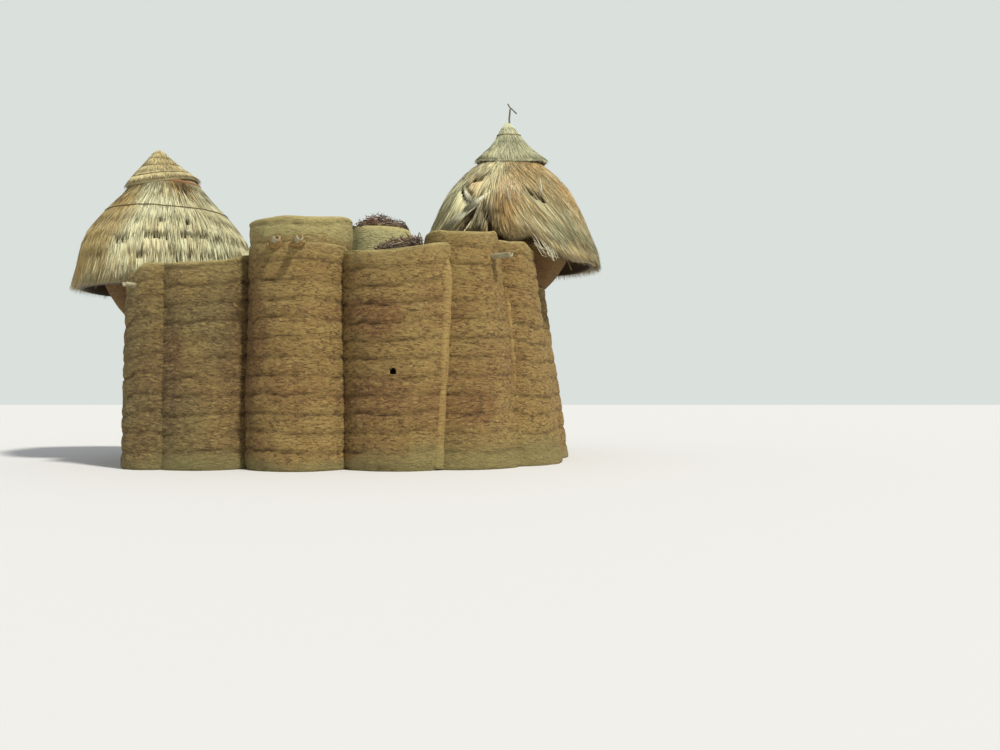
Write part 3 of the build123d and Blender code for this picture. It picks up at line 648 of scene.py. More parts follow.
def cutter_block(low, high, arch=0.0):
    """Upright opening with an arched head, as a closed mesh to cut with."""
    half = (high[0] - low[0]) / 2
    middle = (low[0] + high[0]) / 2
    outline = [(low[0], low[2]), (high[0], low[2])]
    for step in range(13):
        turn = math.pi * step / 12
        outline.append((middle + half * math.cos(turn), high[2] - arch + arch * math.sin(turn)))
    count = len(outline)
    vertices = [(u, low[1], z) for u, z in outline] + [(u, high[1], z) for u, z in outline]
    ring = np.arange(count)
    after = (ring + 1) % count
    sides = np.stack([ring, ring + count, after + count, after], axis=1)
    caps = [ring[None, ::-1], (ring + count)[None, :]]
    return mesh_piece("cutter", vertices, [sides] + caps, smooth=False)


def cut_away(piece, cutter):
    """Cut a shape out of a piece for good, and delete the cutter."""
    modifier = piece.modifiers.new("cut", "BOOLEAN")
    modifier.operation = "DIFFERENCE"
    modifier.solver = "EXACT"
    modifier.object = cutter
    bpy.context.view_layer.update()
    shaped = piece.evaluated_get(bpy.context.evaluated_depsgraph_get())
    mesh = bpy.data.meshes.new_from_object(shaped)
    piece.modifiers.clear()
    old = piece.data
    piece.data = mesh
    bpy.data.meshes.remove(old)
    bpy.data.objects.remove(cutter)


def cut_opening(piece, wall, low, high, arch, bearing):
    """Cut an opening that is laid out along +Y through a wall, toward a bearing."""
    cutter = cutter_block(low, high, arch)
    cutter.location = (wall.x, wall.y, 0)
    cutter.rotation_euler = (0, 0, bearing - math.pi / 2)
    bpy.context.view_layer.update()
    cut_away(piece, cutter)


DOOR_HALF = 0.21
DOOR_TOP = 1.05
DOOR_ARCH = 0.12
ENTRANCE_HALF = 0.38
ENTRANCE_TOP = 1.5
VENT_HALF = 0.05
VENT_LEVEL = 1.565
BELOW_GROUND = -0.1


def tower_piece(node, seed, bearing, **shape):
    """Round tower with a low doorway into its ground room."""
    wall = walls[node]
    angles = tower_angles(wall)
    piece = wall_mesh(node + "_mud", wall, lambda z: angles, True, seed, **shape)
    reach = float(wall.outer(0)) + 0.3
    cut_opening(piece, wall, (-DOOR_HALF, 0.0, BELOW_GROUND), (DOOR_HALF, reach, DOOR_TOP),
                DOOR_ARCH, bearing)
    piece.data.materials.append(wall_earth)
    return piece


def curtain_piece(node, first, second, seed, base=None, **shape):
    """Curtain wall whose two ends lap into its towers."""
    wall = walls[node]
    reach = float(wall.outer(wall.base if base is None else base))
    lap = WALL_LAP / reach

    def ends(z):
        """Bearings of both ends at a level."""
        a = meeting_angle(wall, walls[first], z)
        b = meeting_angle(wall, walls[second], z)
        return min(a, b) - lap, max(a, b) + lap

    low, high = ends(wall.base if base is None else base)
    columns = max(int((high - low) * reach / COLUMN_STEP), 8)
    piece = wall_mesh(node + "_mud", wall, lambda z: np.linspace(*ends(z), columns), False, seed,
                      base=base, **shape)
    piece.data.materials.append(wall_earth)
    return piece


# How far each front rim stands over or under its level top, along x
RIM_LIFTS = {
    "west_tower": (
        (-3.15, -0.23), (-2.99, -0.163), (-2.87, -0.082), (-2.8, -0.034), (-2.7, 0.0), (-2.4, 0.014)
    ),
    "west_wall": (
        (-2.5, -0.08), (-2.3, -0.098), (-1.86, -0.1), (-1.63, -0.075), (-1.41, -0.035),
        (-1.24, 0.03), (-1.15, 0.07)
    ),
    "great_tower_band": (
        (-1.1, -0.015), (-0.45, 0.005), (-0.1, 0.017), (0.11, 0.034), (0.27, 0.06), (0.39, 0.087),
        (0.46, 0.1)
    ),
    "front_wall": (
        (0.33, -0.07), (0.5, -0.113), (0.92, -0.138), (1.18, -0.132), (1.45, -0.1),
        (1.71, -0.042), (1.93, 0.027), (2.11, 0.076)
    ),
    "turret": (
        (1.68, 0.04), (1.84, 0.048), (2.05, 0.018), (2.3, 0.007), (2.54, 0.015), (2.68, 0.03),
        (2.79, 0.052), (2.88, 0.094)
    ),
    "east_wall": (
        (2.94, 0.05), (3.1, 0.03), (3.31, 0.056), (3.37, 0.064), (3.42, 0.038), (3.5, -0.03)
    ),
}
RIM_SETTLING = 0.02


def rim_lift(node, wall, x, y):
    """Worn rim against the level top of a wall, on its front only."""
    if node not in RIM_LIFTS:
        return 0.0
    places, lifts = np.array(RIM_LIFTS[node]).T
    reach = float(wall.outer(wall.top))
    front = smooth_step(0.7, -0.1, (y - wall.y) / reach)
    return (np.interp(x, places, lifts) + RIM_SETTLING) * front


# Round towers: seed of the wear, bearing of the inner doorway and shape of the rim
for node, seed, bearing, shape in (
    ("west_tower", 11, 0.0, dict(rim_height=0.06)),
    ("great_tower", 23, math.pi / 2, dict(rim_height=0.02, dip=0.0)),
    ("turret", 37, math.pi, dict(rim_height=0.045)),
    ("east_granary_tower", 41, math.pi, dict(rim_height=0.03, dip=0.0)),
    ("rear_east_tower", 53, -math.pi / 2, dict(rim_height=0.045)),
    ("rear_west_tower", 67, -math.pi / 2, dict(rim_height=0.045)),
    ("west_granary_tower", 71, 0.0, dict(rim_height=0.03, dip=0.0)),
):
    settle(tower_piece(node, seed, bearing, **shape), "wall_earth", node)


def build_band():
    """The great tower's smooth pale band, reddish where it runs out over the earth below."""
    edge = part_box("great_tower_parapet")[0].z
    angles = np.linspace(0, TAU, int(TAU * 0.9 / COLUMN_STEP), endpoint=False)
    piece = wall_mesh("great_tower_band", great, lambda z: angles, True, 29, rim_height=0.05,
                      calm=0.9, proud=0.03, base=edge - 0.05)
    where = positions(piece.data)
    red = smooth_step(edge + 0.18, edge - 0.03, where[:, 2] + 0.1 * noise(where, 0.25, 31))
    piece.data.attributes["red"].data.foreach_set("value", red.astype(np.float32))
    piece.data.materials.append(band_plaster)
    settle(piece, "smooth_plaster", "great_tower_parapet")


great.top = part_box("great_tower_parapet")[1].z
build_band()

# Curtain walls: the two towers each one joins, seed of the wear and shape
FRONT_LEAN = (-0.06, -0.02)
for node, first, second, seed, shape in (
    ("west_wall", "west_tower", "great_tower", 83, {}),
    ("front_wall", "great_tower", "turret", 97, dict(lean=FRONT_LEAN)),
    ("east_wall", "turret", "east_granary_tower", 101, dict(rim_height=0.05)),
    ("rear_east_wall", "east_granary_tower", "rear_east_tower", 107, {}),
    ("rear_west_wall", "rear_west_tower", "west_granary_tower", 113, {}),
    ("west_side_wall", "west_granary_tower", "west_tower", 127, {}),
):
    piece = curtain_piece(node, first, second, seed, **shape)
    if node == "front_wall":
        cut_opening(piece, walls[node], (-VENT_HALF, 0.0, VENT_LEVEL - VENT_HALF),
                    (VENT_HALF, 1.6, VENT_LEVEL + VENT_HALF), VENT_HALF, math.radians(-91))
    settle(piece, "wall_earth", node)

walls["entrance_wall"] = walls.pop("entrance_wall_over_door")
piece = curtain_piece("entrance_wall", "rear_east_tower", "rear_west_tower", 131, base=0.0)
cut_opening(piece, walls["entrance_wall"], (-ENTRANCE_HALF, 1.2, BELOW_GROUND),
            (ENTRANCE_HALF, 2.9, ENTRANCE_TOP), 0.02, math.pi / 2)
settle(
    piece, "wall_earth", "entrance_wall_east", "entrance_wall_west", "entrance_wall_over_door"
)


# Smoothed beads of earth in the seams beside the turret

def seam_bead(name, first, second, low, high, radius, sunk, seed, lean=(0.0, 0.0)):
    """Upright bead of smoothed earth along the seam of two walls."""
    wall = walls[first]
    z = np.linspace(low, high, 70)
    angle = np.array([meeting_angle(wall, walls[second], v) for v in z])
    lift = (z - wall.base) / (wall.top - wall.base)
    reach = wall.outer(z) - sunk
    x = wall.x + reach * np.cos(angle) + lean[0] * lift
    y = wall.y + reach * np.sin(angle) + lean[1] * lift
    path = np.stack([x, y, z], axis=1)
    path += 0.008 * np.stack([noise(path, 0.3, seed + k) for k in range(3)], axis=1)
    out = np.stack([np.cos(angle), np.sin(angle), 0 * z], axis=1)
    thick = radius * (1 + 0.2 * noise(path, 0.25, seed + 5))
    thick = thick * smooth_step(high + 0.1, high - 0.4, z)
    piece, _ = tubes(name, path[None], thick[None], out[None], 14, 0.75, pointed=False)
    where = positions(piece.data)
    paint_earth(piece, red=red_share(where) * 0.5, foot=smooth_step(0.7, 0.04, where[:, 2]))
    piece.data.materials.append(seam_earth)
    settle(piece, "wall_earth")


seam_bead("turret_west_seam", "front_wall", "turret", 0.02, 3.52, 0.105, 0.10, 141, FRONT_LEAN)
seam_bead("turret_east_seam", "east_wall", "turret", 0.02, 3.3, 0.05, 0.085, 151)


# Straw

# Widths of a stalk at its stations, and the shortest stalk that is laid
STALK_TAPER = (0.95, 0.9, 0.0)
SHORTEST_STALK = 0.07


class Outline:
    """Half outline of a roof or pot, measured along its length from the top."""

    def __init__(self, x, y, points, lean=(0.0, 0.0)):
        self.x = x
        self.y = y
        self.lean = lean
        points = np.array(points, float)
        ends = np.vstack([2 * points[0] - points[1], points, 2 * points[-1] - points[-2]])
        dense = []
        for a, b, c, d in zip(ends, ends[1:], ends[2:], ends[3:]):
            for t in np.linspace(0, 1, 24, endpoint=False):
                dense.append(
                    0.5 * (2 * b + (c - a) * t + (2 * a - 5 * b + 4 * c - d) * t ** 2
                           + (3 * b - a - 3 * c + d) * t ** 3)
                )
        dense.append(points[-1])
        dense = np.array(dense)
        steps = np.hypot(*np.diff(dense, axis=0).T)
        self.run = np.concatenate([[0], np.cumsum(steps)])
        self.length = self.run[-1]
        self.radius = dense[:, 0]
        self.level = dense[:, 1]

    def place(self, run, angle, lift):
        """Points at a run down the outline and an angle round it, lifted off it."""
        run = np.asarray(run, float)
        radius = np.interp(run, self.run, self.radius)
        level = np.interp(run, self.run, self.level)
        beyond = np.maximum(run - self.length, 0)
        near = self.length * 0.03
        slope_r = (np.interp(run + near, self.run, self.radius)
                   - np.interp(run - near, self.run, self.radius))
        slope_z = (np.interp(run + near, self.run, self.level)
                   - np.interp(run - near, self.run, self.level))
        size = np.maximum(np.hypot(slope_r, slope_z), 1e-6)
        slope_r = slope_r / size
        slope_z = slope_z / size
        radius = radius + beyond * slope_r - lift * slope_z
        level = level + beyond * slope_z + lift * slope_r
        share = (level - self.level[-1]) / (self.level[0] - self.level[-1])
        x = self.x + radius * np.cos(angle) + self.lean[0] * share
        y = self.y + radius * np.sin(angle) + self.lean[1] * share
        return np.stack([x, y, level], axis=-1)


def straw_layer(random, count, tip_run, length, spread, drift, lift, scatter=0.16, tufted=0.04):
    """Stalks of one layer of thatch: angle, root, tip, drift, lift and tuft."""
    turn, stray, _, long, rise = random.random((5, count))
    angle = TAU * (np.arange(count) + turn) / count
    tuft = np.floor(angle * spread).astype(np.int64)
    tuft_noise = hashed(tuft, tuft * 0 + int(tip_run * 100), tuft * 0, 5)
    tip = tip_run + scatter * (stray - 0.5) + tufted * tuft_noise
    root = np.maximum(tip - length * (0.7 + 0.6 * long), 0.0)
    return [angle, root, tip, drift(angle), lift * (0.5 + 0.7 * rise), tuft_noise]


def sheaf(random, start, end, count, wide, lift, ragged):
    """Loose stalks combed from one place on a roof to another, as bearing and run."""
    across, skew, low, high, rise = random.random((5, count))
    across = across - 0.5
    a0 = math.radians(start[0]) + wide[0] * across
    a1 = math.radians(end[0]) + wide[1] * (across + 0.15 * (skew - 0.5))
    root = start[1] + ragged * low
    tip = end[1] + ragged * (high - 0.5)
    drift = (a1 - a0) / np.maximum(tip - root, 0.05)
    lifts = lift * (0.4 + 0.8 * rise) * (1 - 2.4 * across ** 2)
    return [a0, root, tip, drift, lifts, across]


def cut_to_edge(layer, edge, random, least=0.25):
    """Cut the stalks that pass the edge of a roof back to it, a little raggedly."""
    angle, root, tip, drift, lift, tuft = layer
    ragged = 0.08 * random.random(len(tip)) ** 2 - 0.05
    for _ in range(5):
        limit = edge(angle + drift * (tip - root)) + ragged
        tip = np.minimum(tip, limit)
        root = np.minimum(root, tip - least)
    return [angle, root, tip, drift, lift, tuft]


def trim_hollows(layer, hollows, random, cut=1.0):
    """Cut the stalks that cross a torn hollow back to its upper or lower edge."""
    angle, root, tip, drift, lift, tuft = layer
    count = len(angle)
    for turn, place, wide, tall, _ in hollows:
        there = angle + drift * (place - root)
        gap = np.abs(angle_gap(there, math.radians(turn)))
        gap = gap / (wide * (0.8 + 0.4 * random.random(count)))
        half = tall * np.sqrt(np.clip(1 - gap ** 2, 0, 1)) * (0.8 + 0.5 * random.random(count))
        crossing = (gap < 1) & (root < place + half) & (tip > place - half)
        crossing = crossing & (random.random(count) < cut)
        above = place - root > tip - place
        tip = np.where(crossing & above, place - half, tip)
        moved = np.where(crossing & ~above, place + half, root)
        angle = angle + drift * (moved - root)
        root = moved
    chosen = tip - root > SHORTEST_STALK
    return [v[chosen] for v in (angle, root, tip, drift, lift, tuft)]


def lay_straw(name, outline, layers, random, width, curl=0.012, sway=0.06):
    """One piece of stalks laid along an outline, layer by layer."""
    angle, root, tip, drift, lift, tuft = [np.concatenate(v) for v in zip(*layers)]
    count = len(angle)
    share = np.linspace(0, 1, len(STALK_TAPER))[None, :]
    run = root[:, None] + (tip - root)[:, None] * share
    leaning = (random.random((count, 1)) - 0.5) * sway
    bend = (random.random((count, 1)) - 0.5) * 0.7 * sway
    radius_here = np.maximum(np.interp(run, outline.run, outline.radius), 0.08)
    turn = angle[:, None] + drift[:, None] * (run - root[:, None])
    turn = turn + (leaning * share + bend * share ** 2) / radius_here
    rough = (random.random((count, 1)) - 0.35) * curl
    rise = np.where(lift[:, None] > 0, 0.15 + 0.85 * share, 1.0)
    height = lift[:, None] * rise + rough * share ** 2
    paths = outline.place(run, turn, height)
    outer = outline.place(run, turn, height + 0.05)
    ups = outer - paths
    size = width * (0.45 + 1.15 * random.random(count) ** 1.6)
    thick = size[:, None] * np.array(STALK_TAPER)
    piece, each = tubes(name, paths, thick / 2, ups, 3, 0.45)
    return piece, each, dict(angle=angle, tip=tip, tuft=tuft, paths=paths)


def paint_straw(piece, each, shade, warmth, depth):
    """Store the tones of stalks that have so many vertices each, or one tone for all."""
    for name, values in (("shade", shade), ("warmth", warmth), ("depth", depth)):
        paint(piece, name, np.repeat(np.clip(values, 0, 1), each))


def angle_gap(a, b):
    """Signed turn from b to a."""
    return (np.asarray(a) - b + math.pi) % TAU - math.pi


def straw_tones(random, data, pale_share, warm_share, contrast=1.0):
    """Shade, warmth and darkness of stalks, alike within a tuft."""
    middle = data["paths"][:, 1, :]
    count = len(middle)
    cloud = layered_noise(middle * (1, 1, 0.5), 0.35, 3, 77)
    spread = 0.2 * cloud + 0.1 * data["tuft"] + 0.6 * (random.random(count) - 0.5)
    shade = pale_share + contrast * spread
    warmth = warm_share + 0.2 * layered_noise(middle, 0.5, 2, 91)
    warmth = warmth + 0.4 * (random.random(count) ** 3)
    # A few stalks get painted shade, as if lying deep among the others
    dark = random.random(count) < 0.09
    depth = np.where(dark, 0.25 + 0.35 * random.random(count), 0.0) * contrast
    return shade, warmth, depth


def bell(name, outline, thickness, columns, rows, seed, floor_run, hollows, material, slot, node,
         deep):
    """Closed bell of packed straw under the loose stalks."""
    turn = np.linspace(0, TAU, columns, endpoint=False)
    run = np.linspace(0.0, outline.length - 0.05, rows)
    grid_run, grid_turn = [v.ravel() for v in np.meshgrid(run, turn, indexing="ij")]
    grid_run = np.minimum(grid_run, floor_run(grid_turn))
    plain = outline.place(grid_run, grid_turn, 0.0)
    sink = 0.02 * noise(plain * (3, 3, 0.6), 0.35, seed) + 0.012 * noise(plain, 0.06, seed + 1)
    sink = sink - 0.045
    torn = np.zeros(len(grid_run))
    for angle, place, wide, tall, sunk in hollows:
        reach = (angle_gap(grid_turn, math.radians(angle)) / (wide + 0.015)) ** 2
        reach = reach + ((grid_run - place) / (tall + 0.02)) ** 2
        sink = sink - sunk * smooth_step(1.2, 0.2, reach)
        torn = np.maximum(torn, smooth_step(1.6, 0.8, reach))
    outer = outline.place(grid_run, grid_turn, sink)
    inner = outline.place(grid_run, grid_turn, -thickness + 0.3 * sink)
    inner = inner.reshape(rows, columns, 3)[::-1].reshape(-1, 3)
    vertices = np.concatenate([outer, inner])
    faces = grid_faces(2 * rows, columns, True, True)
    piece = mesh_piece(name, vertices, [faces[:, ::-1]])
    # Painted shade: the body is dark where it shows between the stalks, darker in the torn hollows,
    # and nearly black inside, under the eave
    dark = np.concatenate([np.maximum(deep, torn), np.full(len(inner), 0.95)])
    paint_straw(piece, 1, 0.3, 0.5, dark)
    piece.data.materials.append(material)
    settle(piece, slot, node)


# Straw through an eave: lift, step back from the edge, count and length of its stalks
EAVE_LAYERS = (
    (0.02, 0.0, 1500, 0.45), (-0.04, 0.03, 1100, 0.35), (-0.09, 0.06, 900, 0.4),
    (-0.135, 0.10, 900, 0.7), (-0.15, 0.32, 700, 0.7),
)


def eave(name, outline, limit, drift, random, material, slot, warm, dusk=np.zeros_like,
         hollows=()):
    """Ragged cut ends of straw through the whole thickness of an eave."""
    layers = []
    for lift, back, count, long in EAVE_LAYERS:
        angle, _, _, turn, lifts, tuft = straw_layer(
            random, count, outline.length, long, 20, drift, lift, 0.08, 0.02
        )
        tip = limit(angle) - back
        tip = tip + 0.07 * random.random(count) ** 2 + 0.05 * (random.random(count) - 0.5)
        root = tip - long * (0.7 + 0.5 * random.random(count))
        layer = [angle - turn * (tip - root), root, tip, turn, lifts, tuft]
        layers.append(trim_hollows(layer, hollows, random))
    piece, each, data = lay_straw(name, outline, layers, random, 0.015, curl=0.03)
    shade, warmth, depth = straw_tones(random, data, 0.45, warm)
    # The inner layers, under the eave, get painted shade
    inside = smooth_step(0.0, -0.1, np.concatenate([layer[4] for layer in layers]))
    depth = depth + 0.6 * inside + dusk(data["angle"]) * random.random(len(depth))
    paint_straw(piece, each, shade - 0.3 * inside, warmth + 0.35 * inside, depth)
    piece.data.materials.append(material)
    settle(piece, slot)


west_x, west_y = walls["west_granary_tower"].x, walls["west_granary_tower"].y
east_x, east_y = walls["east_granary_tower"].x, walls["east_granary_tower"].y

# West roof: pale weathered straw in scalloped layers, golden on its left and darkened there with
# painted shade
west_skirt = Outline(
    west_x, west_y,
    [(0.50, 5.12), (0.62, 4.97), (0.72, 4.84), (0.90, 4.64), (1.08, 4.44), (1.24, 4.23),
     (1.38, 4.02), (1.47, 3.77), (1.53, 3.47), (1.60, 3.20), (1.64, 3.06)],
    lean=(-0.05, 0.0),
)
# Torn hollows: bearing in degrees, run, half width, half height and sinking
WEST_HOLLOWS = (
    (-102, 1.69, 0.06, 0.02, 0.05), (-98, 1.68, 0.04, 0.028, 0.06), (-83, 1.61, 0.04, 0.018, 0.05),
    (-79, 1.60, 0.03, 0.012, 0.04), (-75, 1.60, 0.045, 0.016, 0.05),
    (-71.5, 1.61, 0.022, 0.03, 0.05), (-60, 1.57, 0.035, 0.014, 0.04),
    (-56, 1.56, 0.03, 0.01, 0.04), (-46, 1.55, 0.05, 0.01, 0.04),
    (-93, 1.31, 0.028, 0.018, 0.04), (-76, 1.27, 0.045, 0.009, 0.03),
    (-56, 1.29, 0.035, 0.010, 0.03), (-117, 1.98, 0.04, 0.018, 0.04),
    (-87, 1.96, 0.04, 0.014, 0.04), (-57, 1.97, 0.03, 0.012, 0.04),
    (-35, 1.62, 0.04, 0.012, 0.04), (10, 1.5, 0.06, 0.015, 0.04), (70, 1.3, 0.05, 0.015, 0.04),
    (120, 1.7, 0.06, 0.02, 0.05), (-150, 1.4, 0.05, 0.015, 0.04), (170, 1.9, 0.06, 0.015, 0.04),
    (40, 1.9, 0.05, 0.015, 0.04),
)
# Layers: run to the tips, share of stalks, scatter, lift
WEST_STALKS = 1170
WEST_LAYERS = (
    (0.40, 0.8, 0.25, 0.018), (0.72, 0.9, 0.25, 0.018), (1.00, 1.0, 0.25, 0.018),
    (1.27, 1.1, 0.16, 0.021), (1.45, 1.0, 0.24, 0.018), (1.63, 1.2, 0.09, 0.026),
    (1.82, 0.9, 0.22, 0.018), (1.98, 1.2, 0.13, 0.023), (2.2, 1.2, 0.16, 0.02),
    (2.36, 1.3, 0.06, 0.026),
)


def west_drift(angle):
    """Turn per metre down the roof."""
    return 0.03 * np.sin(3 * angle) - 0.05 * smooth_step(0.4, 1.0, np.cos(angle + 2.4))


def west_eave(angle):
    """Run down to the eave, the same all round."""
    return np.full_like(angle, west_skirt.length)


def build_west_roof():
    """Solid bell of straw, its stalks layer by layer, and its eave."""
    random = np.random.default_rng(7)
    bell("west_thatch_body", west_skirt, 0.17, 180, 40, 301, west_eave, WEST_HOLLOWS, pale_straw,
         "pale_thatch", "west_thatch_skirt", 0.45)
    layers = []
    for edge, share, scatter, lift in WEST_LAYERS:
        layer = straw_layer(random, int(WEST_STALKS * share), edge, 0.6, 22, west_drift, lift,
                            scatter, 0.035)
        layers.append(trim_hollows(layer, WEST_HOLLOWS, random, 0.75))
    piece, each, data = lay_straw("west_thatch", west_skirt, layers, random, 0.017)
    shade, warmth, depth = straw_tones(random, data, 0.66, 0.04, 0.6)
    side = np.cos(data["angle"] - math.radians(188))
    golden = smooth_step(0.15, 0.6, side + 0.18 * noise(data["paths"][:, 1, :], 0.4, 71))
    # The left side faces away from the sun: golden straw, darkened with painted shade
    warmth = warmth + 0.5 * golden
    shade = shade - 0.62 * golden
    depth = depth + 0.22 * golden * random.random(len(depth))
    upper = smooth_step(4.45, 4.8, data["paths"][:, 1, 2])
    shade = shade + 0.06 - 0.2 * upper
    head = data["paths"][:, 0, 2] + 0.05 * noise(data["paths"][:, 0, :], 0.15, 75)
    rust = smooth_step(4.93, 5.02, head) * np.exp(-(angle_gap(data["angle"], -0.85) / 0.34) ** 2)
    warmth = warmth + 1.2 * rust
    # Stalk heads just under the cap are darkened all round: painted shadow of the cap
    depth = depth + 0.4 * rust + 0.4 * smooth_step(5.02, 5.08, head)
    # Painted highlight on the tips of the torn row
    torn_row_highlight = smooth_step(0.0, 0.22, 1 - np.abs(data["tip"] - 1.63) / 0.2)
    shade = shade + 0.04 * torn_row_highlight
    paint_straw(piece, each, shade, warmth, depth)
    piece.data.materials.append(pale_straw)
    settle(piece, "pale_thatch")
    eave("west_eave_straw", west_skirt, west_eave, west_drift, random, pale_straw,
         "pale_thatch", 0.3)


build_west_roof()

# East roof: grey on its left, combed to the right in front, torn away over the turret
east_skirt = Outline(
    east_x, east_y,
    [(0.50, 5.61), (0.70, 5.47), (0.95, 5.24), (1.175, 4.97), (1.325, 4.67), (1.45, 4.376),
     (1.585, 4.05), (1.69, 3.80), (1.725, 3.58)],
)
# Bearing where the combed front straw parts from the grey straw on the left
PARTING = math.radians(-101)


def east_drift(angle):
    """Turn per metre down the roof: the front straw is combed to the right."""
    gap = angle_gap(angle, PARTING)
    combed = smooth_step(-0.05, 0.3, gap) * smooth_step(2.5, 1.35, gap)
    swept = smooth_step(0.0, -0.3, gap) * smooth_step(-1.5, -0.7, gap)
    return 0.38 * combed - 0.16 * swept


# Run down to the torn eave at each bearing
TORN_RUN = (
    (-179, 2.46), (-160, 2.4), (-145, 2.15), (-125, 2.0), (-105, 1.98), (-96.5, 2.0), (-92, 2.12),
    (-87.6, 2.10), (-76, 2.02), (-70.4, 2.13), (-63.7, 2.28), (-59, 2.38), (-50, 2.48), (-35, 2.55),
    (-15, 2.55), (10, 2.48), (60, 2.46),
)


def east_eave(angle):
    """Run down to the eave, shorter where the front is torn."""
    bearings, runs = np.array(TORN_RUN).T
    return np.interp(np.degrees(angle_gap(angle, 0.0)), bearings, runs)


# The crevice on the left, then every torn hollow, as on the west roof
CREVICE = (
    (-116.5, 1.47, 0.03, 0.05, 0.10), (-118, 1.55, 0.045, 0.075, 0.14),
    (-119.5, 1.63, 0.055, 0.085, 0.16), (-121.5, 1.71, 0.06, 0.09, 0.16),
    (-123, 1.79, 0.06, 0.09, 0.16), (-124.5, 1.88, 0.06, 0.09, 0.16),
    (-126, 1.97, 0.06, 0.09, 0.16),
)
EAST_HOLLOWS = CREVICE + (
    (-137.1, 0.98, 0.035, 0.035, 0.10), (-134, 1.05, 0.04, 0.04, 0.12),
    (-130.6, 1.12, 0.042, 0.045, 0.13), (-127.6, 1.19, 0.04, 0.045, 0.13),
    (-124.7, 1.25, 0.036, 0.04, 0.12), (-121.5, 1.33, 0.03, 0.03, 0.10),
    (-110, 1.50, 0.03, 0.06, 0.07), (-107, 1.66, 0.035, 0.07, 0.09),
    (-103.5, 1.84, 0.045, 0.08, 0.09), (-73.5, 1.19, 0.03, 0.02, 0.06),
    (-68.8, 1.26, 0.04, 0.03, 0.08), (-64, 1.325, 0.03, 0.02, 0.06),
    (-122, 0.84, 0.12, 0.009, 0.03), (60, 1.3, 0.07, 0.02, 0.05), (130, 1.6, 0.08, 0.025, 0.05),
    (20, 1.8, 0.06, 0.02, 0.04), (95, 0.9, 0.06, 0.015, 0.04), (-170, 1.7, 0.05, 0.02, 0.05),
)


def east_dusk(angle):
    """Where the straw of the eave is dark: at its right tip."""
    gap = angle_gap(angle, PARTING)
    return 0.75 * smooth_step(0.9, 1.25, gap) * smooth_step(2.0, 1.6, gap)


def east_tones(random, data):
    """Grey on the left, brightened there with painted light, golden above in front and on the far
    right, streaked below.
    """
    shade, warmth, depth = straw_tones(random, data, 0.6, 0.05)
    middle = data["paths"][:, 1, :]
    gap = angle_gap(np.arctan2(middle[:, 1] - east_y, middle[:, 0] - east_x), PARTING)
    level = middle[:, 2] + 0.35 * noise(middle, 0.4, 73) + 0.3 * (random.random(len(gap)) - 0.5)
    front = smooth_step(-0.15, 0.15, gap) * smooth_step(2.3, 1.3, gap)
    upper = smooth_step(4.15, 5.05, level)
    edge = np.exp(-((gap - 1.22) / 0.16) ** 2)
    streak = random.random(len(gap)) ** 1.5
    patch = layered_noise(middle, 0.35, 2, 79)
    warmth = warmth + front * (0.1 + 0.3 * upper + 0.15 * patch) * (0.3 + 1.3 * streak)
    warmth = warmth + 0.35 * edge * streak
    # The left side faces away from the sun: its stalks get painted light
    left = smooth_step(0.1, -0.3, gap)
    warmth = warmth - 0.1 * left
    shade = shade + 0.32 * left - 0.08 * upper * front
    peach = np.exp(-((gap - 0.17) / 0.2) ** 2) * smooth_step(4.5, 4.75, level)
    peach = peach * smooth_step(5.35, 5.1, level)
    shade = shade + 0.6 * peach
    warmth = warmth + 0.2 * peach
    depth = depth * (1 - 0.8 * peach)
    tied = np.exp(-((gap + 0.42) / 0.25) ** 2) * smooth_step(4.75, 4.9, level)
    warmth = warmth + 0.35 * tied * smooth_step(5.25, 5.1, level)
    fan = np.exp(-((gap + 0.13) / 0.18) ** 2) * smooth_step(4.75, 4.5, level)
    shade = shade - 0.5 * fan
    depth = depth + fan * (0.5 + 0.4 * random.random(len(gap)))
    bunch = np.exp(-((gap - 0.13) / 0.1) ** 2) * smooth_step(4.65, 4.45, level)
    shade = shade - 0.35 * bunch
    warmth = warmth + 0.35 * bunch
    depth = depth + 0.3 * bunch * random.random(len(gap))
    low = smooth_step(4.3, 3.85, level) * smooth_step(0.2, 0.35, gap) * smooth_step(1.3, 0.7, gap)
    shade = shade - 0.4 * low
    depth = depth + 0.5 * low * (random.random(len(gap)) < 0.5)
    hem = smooth_step(0.3, 0.0, east_eave(data["angle"]) - data["tip"])
    depth = depth + 1.2 * hem * east_dusk(data["angle"]) * (random.random(len(gap)) < 0.7)
    return shade, warmth, depth


# Loose straw: start and end (bearing, run), count, widths, lift and raggedness of each
# sheaf, then its shade, warmth and darkness. First the pale sheaf over the crevice in two
# lengths, the curl beside the hole, the peach front, the twisted strand and the loose ones
SHEAVES = (
    ((-106, 1.08), (-125, 1.50), 230, (0.05, 0.10), 0.06, 0.10, 0.9, 0.0, 0.0),
    ((-117, 1.26), (-140, 1.88), 280, (0.08, 0.17), 0.06, 0.14, 0.9, 0.0, 0.0),
    ((-139.5, 0.78), (-119, 1.36), 90, (0.03, 0.035), 0.05, 0.05, 0.95, 0.02, 0.0),
    ((-92, 0.66), (-90, 1.34), 300, (0.33, 0.36), 0.02, 0.3, 0.95, 0.5, 0.0),
    ((-59.5, 0.76), (-68, 1.25), 12, (0.012, 0.02), 0.06, 0.02, 1.0, 0.1, 0.0),
    ((-75, 1.9), (-67, 2.5), 16, (0.1, 0.12), 0.03, 0.35, 0.8, 0.15, 0.0),
    ((-67, 2.0), (-61, 2.82), 22, (0.12, 0.1), 0.03, 0.35, 0.8, 0.15, 0.0),
    ((-100, 1.15), (-98, 1.62), 70, (0.05, 0.10), 0.03, 0.1, 0.2, 0.75, 0.4),
    ((-48, 2.0), (-30, 2.72), 80, (0.4, 0.5), 0.0, 0.2, 0.2, 0.3, 0.6),
)


